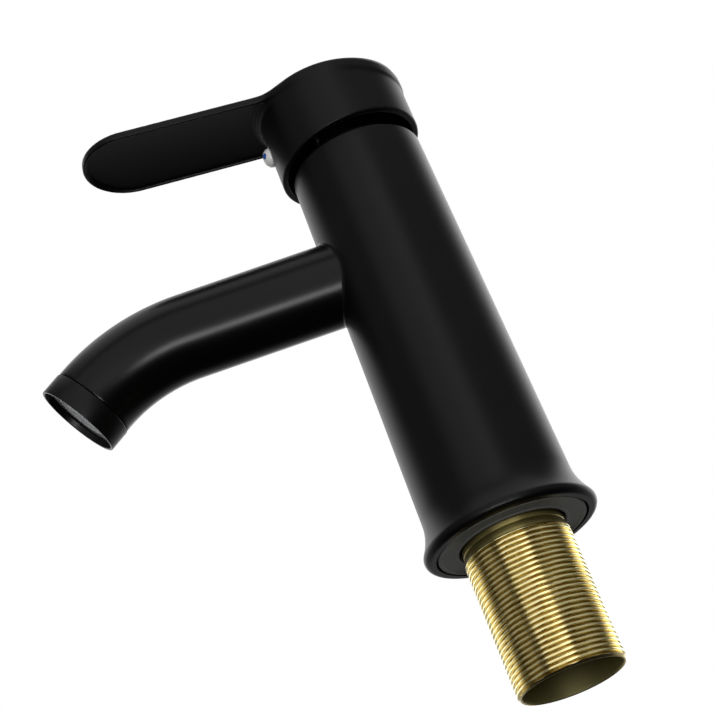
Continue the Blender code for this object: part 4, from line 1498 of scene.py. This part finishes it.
@dataclass
class Studio:
    """The pale floor, the soft light and the camera.

    Attributes:
        target: The point that the lights face.
        floor_z: The floor's height, well below the shank's open end.
        floor_glow: The floor's own light, so that it stays pale.
        low_back: Brightness of the space low behind the tap.
        fill: Brightness of the fill on the right.
        room: Darkest and lightest of the dim room.
        lens: Focal length for a 36 mm wide sensor.
        camera_place: Where the camera stands.
        heading: Where it looks, from +X towards +Y.
        rise: How far it looks up.
        roll: Its turn about its own axis.
        boxes: The soft lights.
    """

    target: Vector = field(default_factory=lambda: Vector((0.0, -0.03, 0.07)))
    floor_z: float = -0.60
    floor_glow: float = 0.42
    low_back: float = 0.34
    fill: float = 0.30
    room: tuple[float, float] = (0.012, 0.085)
    lens: float = 83.86
    camera_place: tuple[float, float, float] = (0.44763, -0.04705, -0.15570)
    heading: float = math.radians(176.853)
    rise: float = math.radians(26.87)
    roll: float = math.radians(-21.52)
    boxes: tuple[SoftBox, ...] = (
        SoftBox("front_face", -9.0, 10.0, 1.2, 1.36, 1.90, 0.82),
        SoftBox("front_heart", 12.0, 10.0, 1.2, 0.42, 1.70, 0.46),
        SoftBox("side_glow", -70.0, 10.0, 1.2, 0.70, 1.90, 0.20),
        SoftBox("overhead", 90.0, 84.0, 1.3, 1.50, 1.50, 0.90),
        SoftBox("rear_face", 146.0, 22.0, 1.3, 1.00, 1.60, 0.90),
        SoftBox("low_strip", -4.0, -33.0, 1.2, 0.62, 0.18, 19.0),
    )

    def build(self) -> None:
        """Adds everything round the tap."""
        self.floor()
        self.surroundings()
        for box in self.boxes:
            box.build(self.target)
        self.camera()

    def shade(self, light: str, piece: str) -> None:
        """Keeps one light off one piece.

        Args:
            light: The light's name.
            piece: The piece's name.
        """
        kept_dark = bpy.data.collections.new(f"{light}_shaded")
        kept_dark.objects.link(bpy.data.objects[piece])
        bpy.data.objects[light].light_linking.receiver_collection = kept_dark
        kept_dark.collection_objects[0].light_linking.link_state = "EXCLUDE"

    def camera(self) -> None:
        """The camera: below the foot, looking up, and rolled."""
        ahead = Vector((
            math.cos(self.rise) * math.cos(self.heading),
            math.cos(self.rise) * math.sin(self.heading),
            math.sin(self.rise),
        ))
        level = ahead.cross(Vector((0, 0, 1))).normalized()
        down = ahead.cross(level)
        cos, sin = math.cos(self.roll), math.sin(self.roll)
        right, below = cos * level - sin * down, sin * level + cos * down
        data = bpy.data.cameras.new("camera")
        data.lens, data.sensor_width = self.lens, 36.0
        data.clip_start, data.clip_end = 0.01, 50.0
        camera = bpy.data.objects.new("camera", data)
        rows = Matrix((right, -below, -ahead)).transposed().to_4x4()
        camera.matrix_world = Matrix.Translation(self.camera_place) @ rows
        bpy.context.scene.collection.objects.link(camera)
        bpy.context.scene.camera = camera

    def floor(self) -> None:
        """A wide pale floor well below the open end of the shank."""
        size = 6.0
        corners = [(-size, -size), (size, -size), (size, size), (-size, size)]
        mesh = bpy.data.meshes.new("floor")
        mesh.from_pydata([(x, y, self.floor_z) for x, y in corners], [], [(0, 1, 2, 3)])
        floor = bpy.data.objects.new("floor", mesh)
        bpy.context.scene.collection.objects.link(floor)
        paint = bpy.data.materials.new("pale_floor")
        paint.use_nodes = True
        bench = NodeBench(paint.node_tree)
        shader = paint.node_tree.nodes["Principled BSDF"]
        place = bench.add("ShaderNodeTexCoord").outputs["Object"]
        cloud = bench.noise(place, 1.5, 3.0)
        colour = bench.add("ShaderNodeMix", {"Factor": cloud}, data_type="RGBA")
        colour.inputs[MIX_FIRST].default_value = (0.80, 0.80, 0.79, 1.0)
        colour.inputs[MIX_SECOND].default_value = (0.86, 0.86, 0.85, 1.0)
        paint.node_tree.links.new(colour.outputs[MIX_RESULT], shader.inputs["Base Color"])
        shader.inputs["Roughness"].default_value = 0.7
        shader.inputs["Emission Color"].default_value = (1.0, 1.0, 1.0, 1.0)
        shader.inputs["Emission Strength"].default_value = self.floor_glow
        mesh.materials.append(paint)
        floor.visible_glossy = False
        floor.visible_diffuse = False

    def surroundings(self) -> None:
        """White walls behind the tap, a dim room before it and a dark space below."""
        scene = bpy.context.scene
        scene.view_settings.view_transform = "Standard"
        scene.view_settings.look = "None"
        world = bpy.data.worlds.new("studio")
        world.use_nodes = True
        scene.world = world
        tree = world.node_tree
        tree.nodes.clear()
        bench = NodeBench(tree)
        place = bench.add("ShaderNodeTexCoord").outputs["Generated"]
        parts = bench.add("ShaderNodeSeparateXYZ", {0: place})
        x, y, z = parts.outputs[0], parts.outputs[1], parts.outputs[2]
        behind = bench.ramp(x, -0.18, -0.66)
        above = bench.ramp(z, -0.10, 0.12)
        ceiling = bench.ramp(z, 0.95, 0.60)
        white = bench.math("MULTIPLY", bench.math("MULTIPLY", behind, above), ceiling)
        low_back = bench.math("MULTIPLY", behind, bench.ramp(z, -0.66, -0.34, 0.0, self.low_back))
        right = bench.ramp(y, -0.2, 0.8)
        front = bench.math("MULTIPLY", bench.ramp(x, -0.3, 0.5), bench.ramp(z, -0.5, 0.2))
        fill = bench.math("MULTIPLY", bench.math("MULTIPLY", right, front), self.fill)
        room = bench.ramp(z, -0.65, -0.10, *self.room)
        total = bench.math("ADD", bench.math("ADD", white, low_back), bench.math("ADD", fill, room))
        light = bench.add("ShaderNodeBackground", {"Strength": total, "Color": (1, 1, 1, 1)})
        seen = bench.add("ShaderNodeBackground", {"Strength": 1.0, "Color": (1, 1, 1, 1)})
        ray = bench.add("ShaderNodeLightPath").outputs["Is Camera Ray"]
        mixed = bench.add(
            "ShaderNodeMixShader", {0: ray, 1: light.outputs[0], 2: seen.outputs[0]}
        )
        out = bench.add("ShaderNodeOutputWorld")
        tree.links.new(mixed.outputs[0], out.inputs["Surface"])


def main() -> None:
    """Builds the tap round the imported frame, in the order in which it is put together."""
    logging.basicConfig(level=logging.INFO, format="%(name)s: %(message)s")
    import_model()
    studio = Studio()
    studio.build()
    PatternLibrary().build()
    spout = Spout()
    shell = BodyShell()
    shell.build(spout.line)
    Shank().build()
    spout.build(shell)
    Cartridge().build()
    Handle().build()
    studio.shade("low_strip", "threaded_tube")


if __name__ == "__main__":
    main()
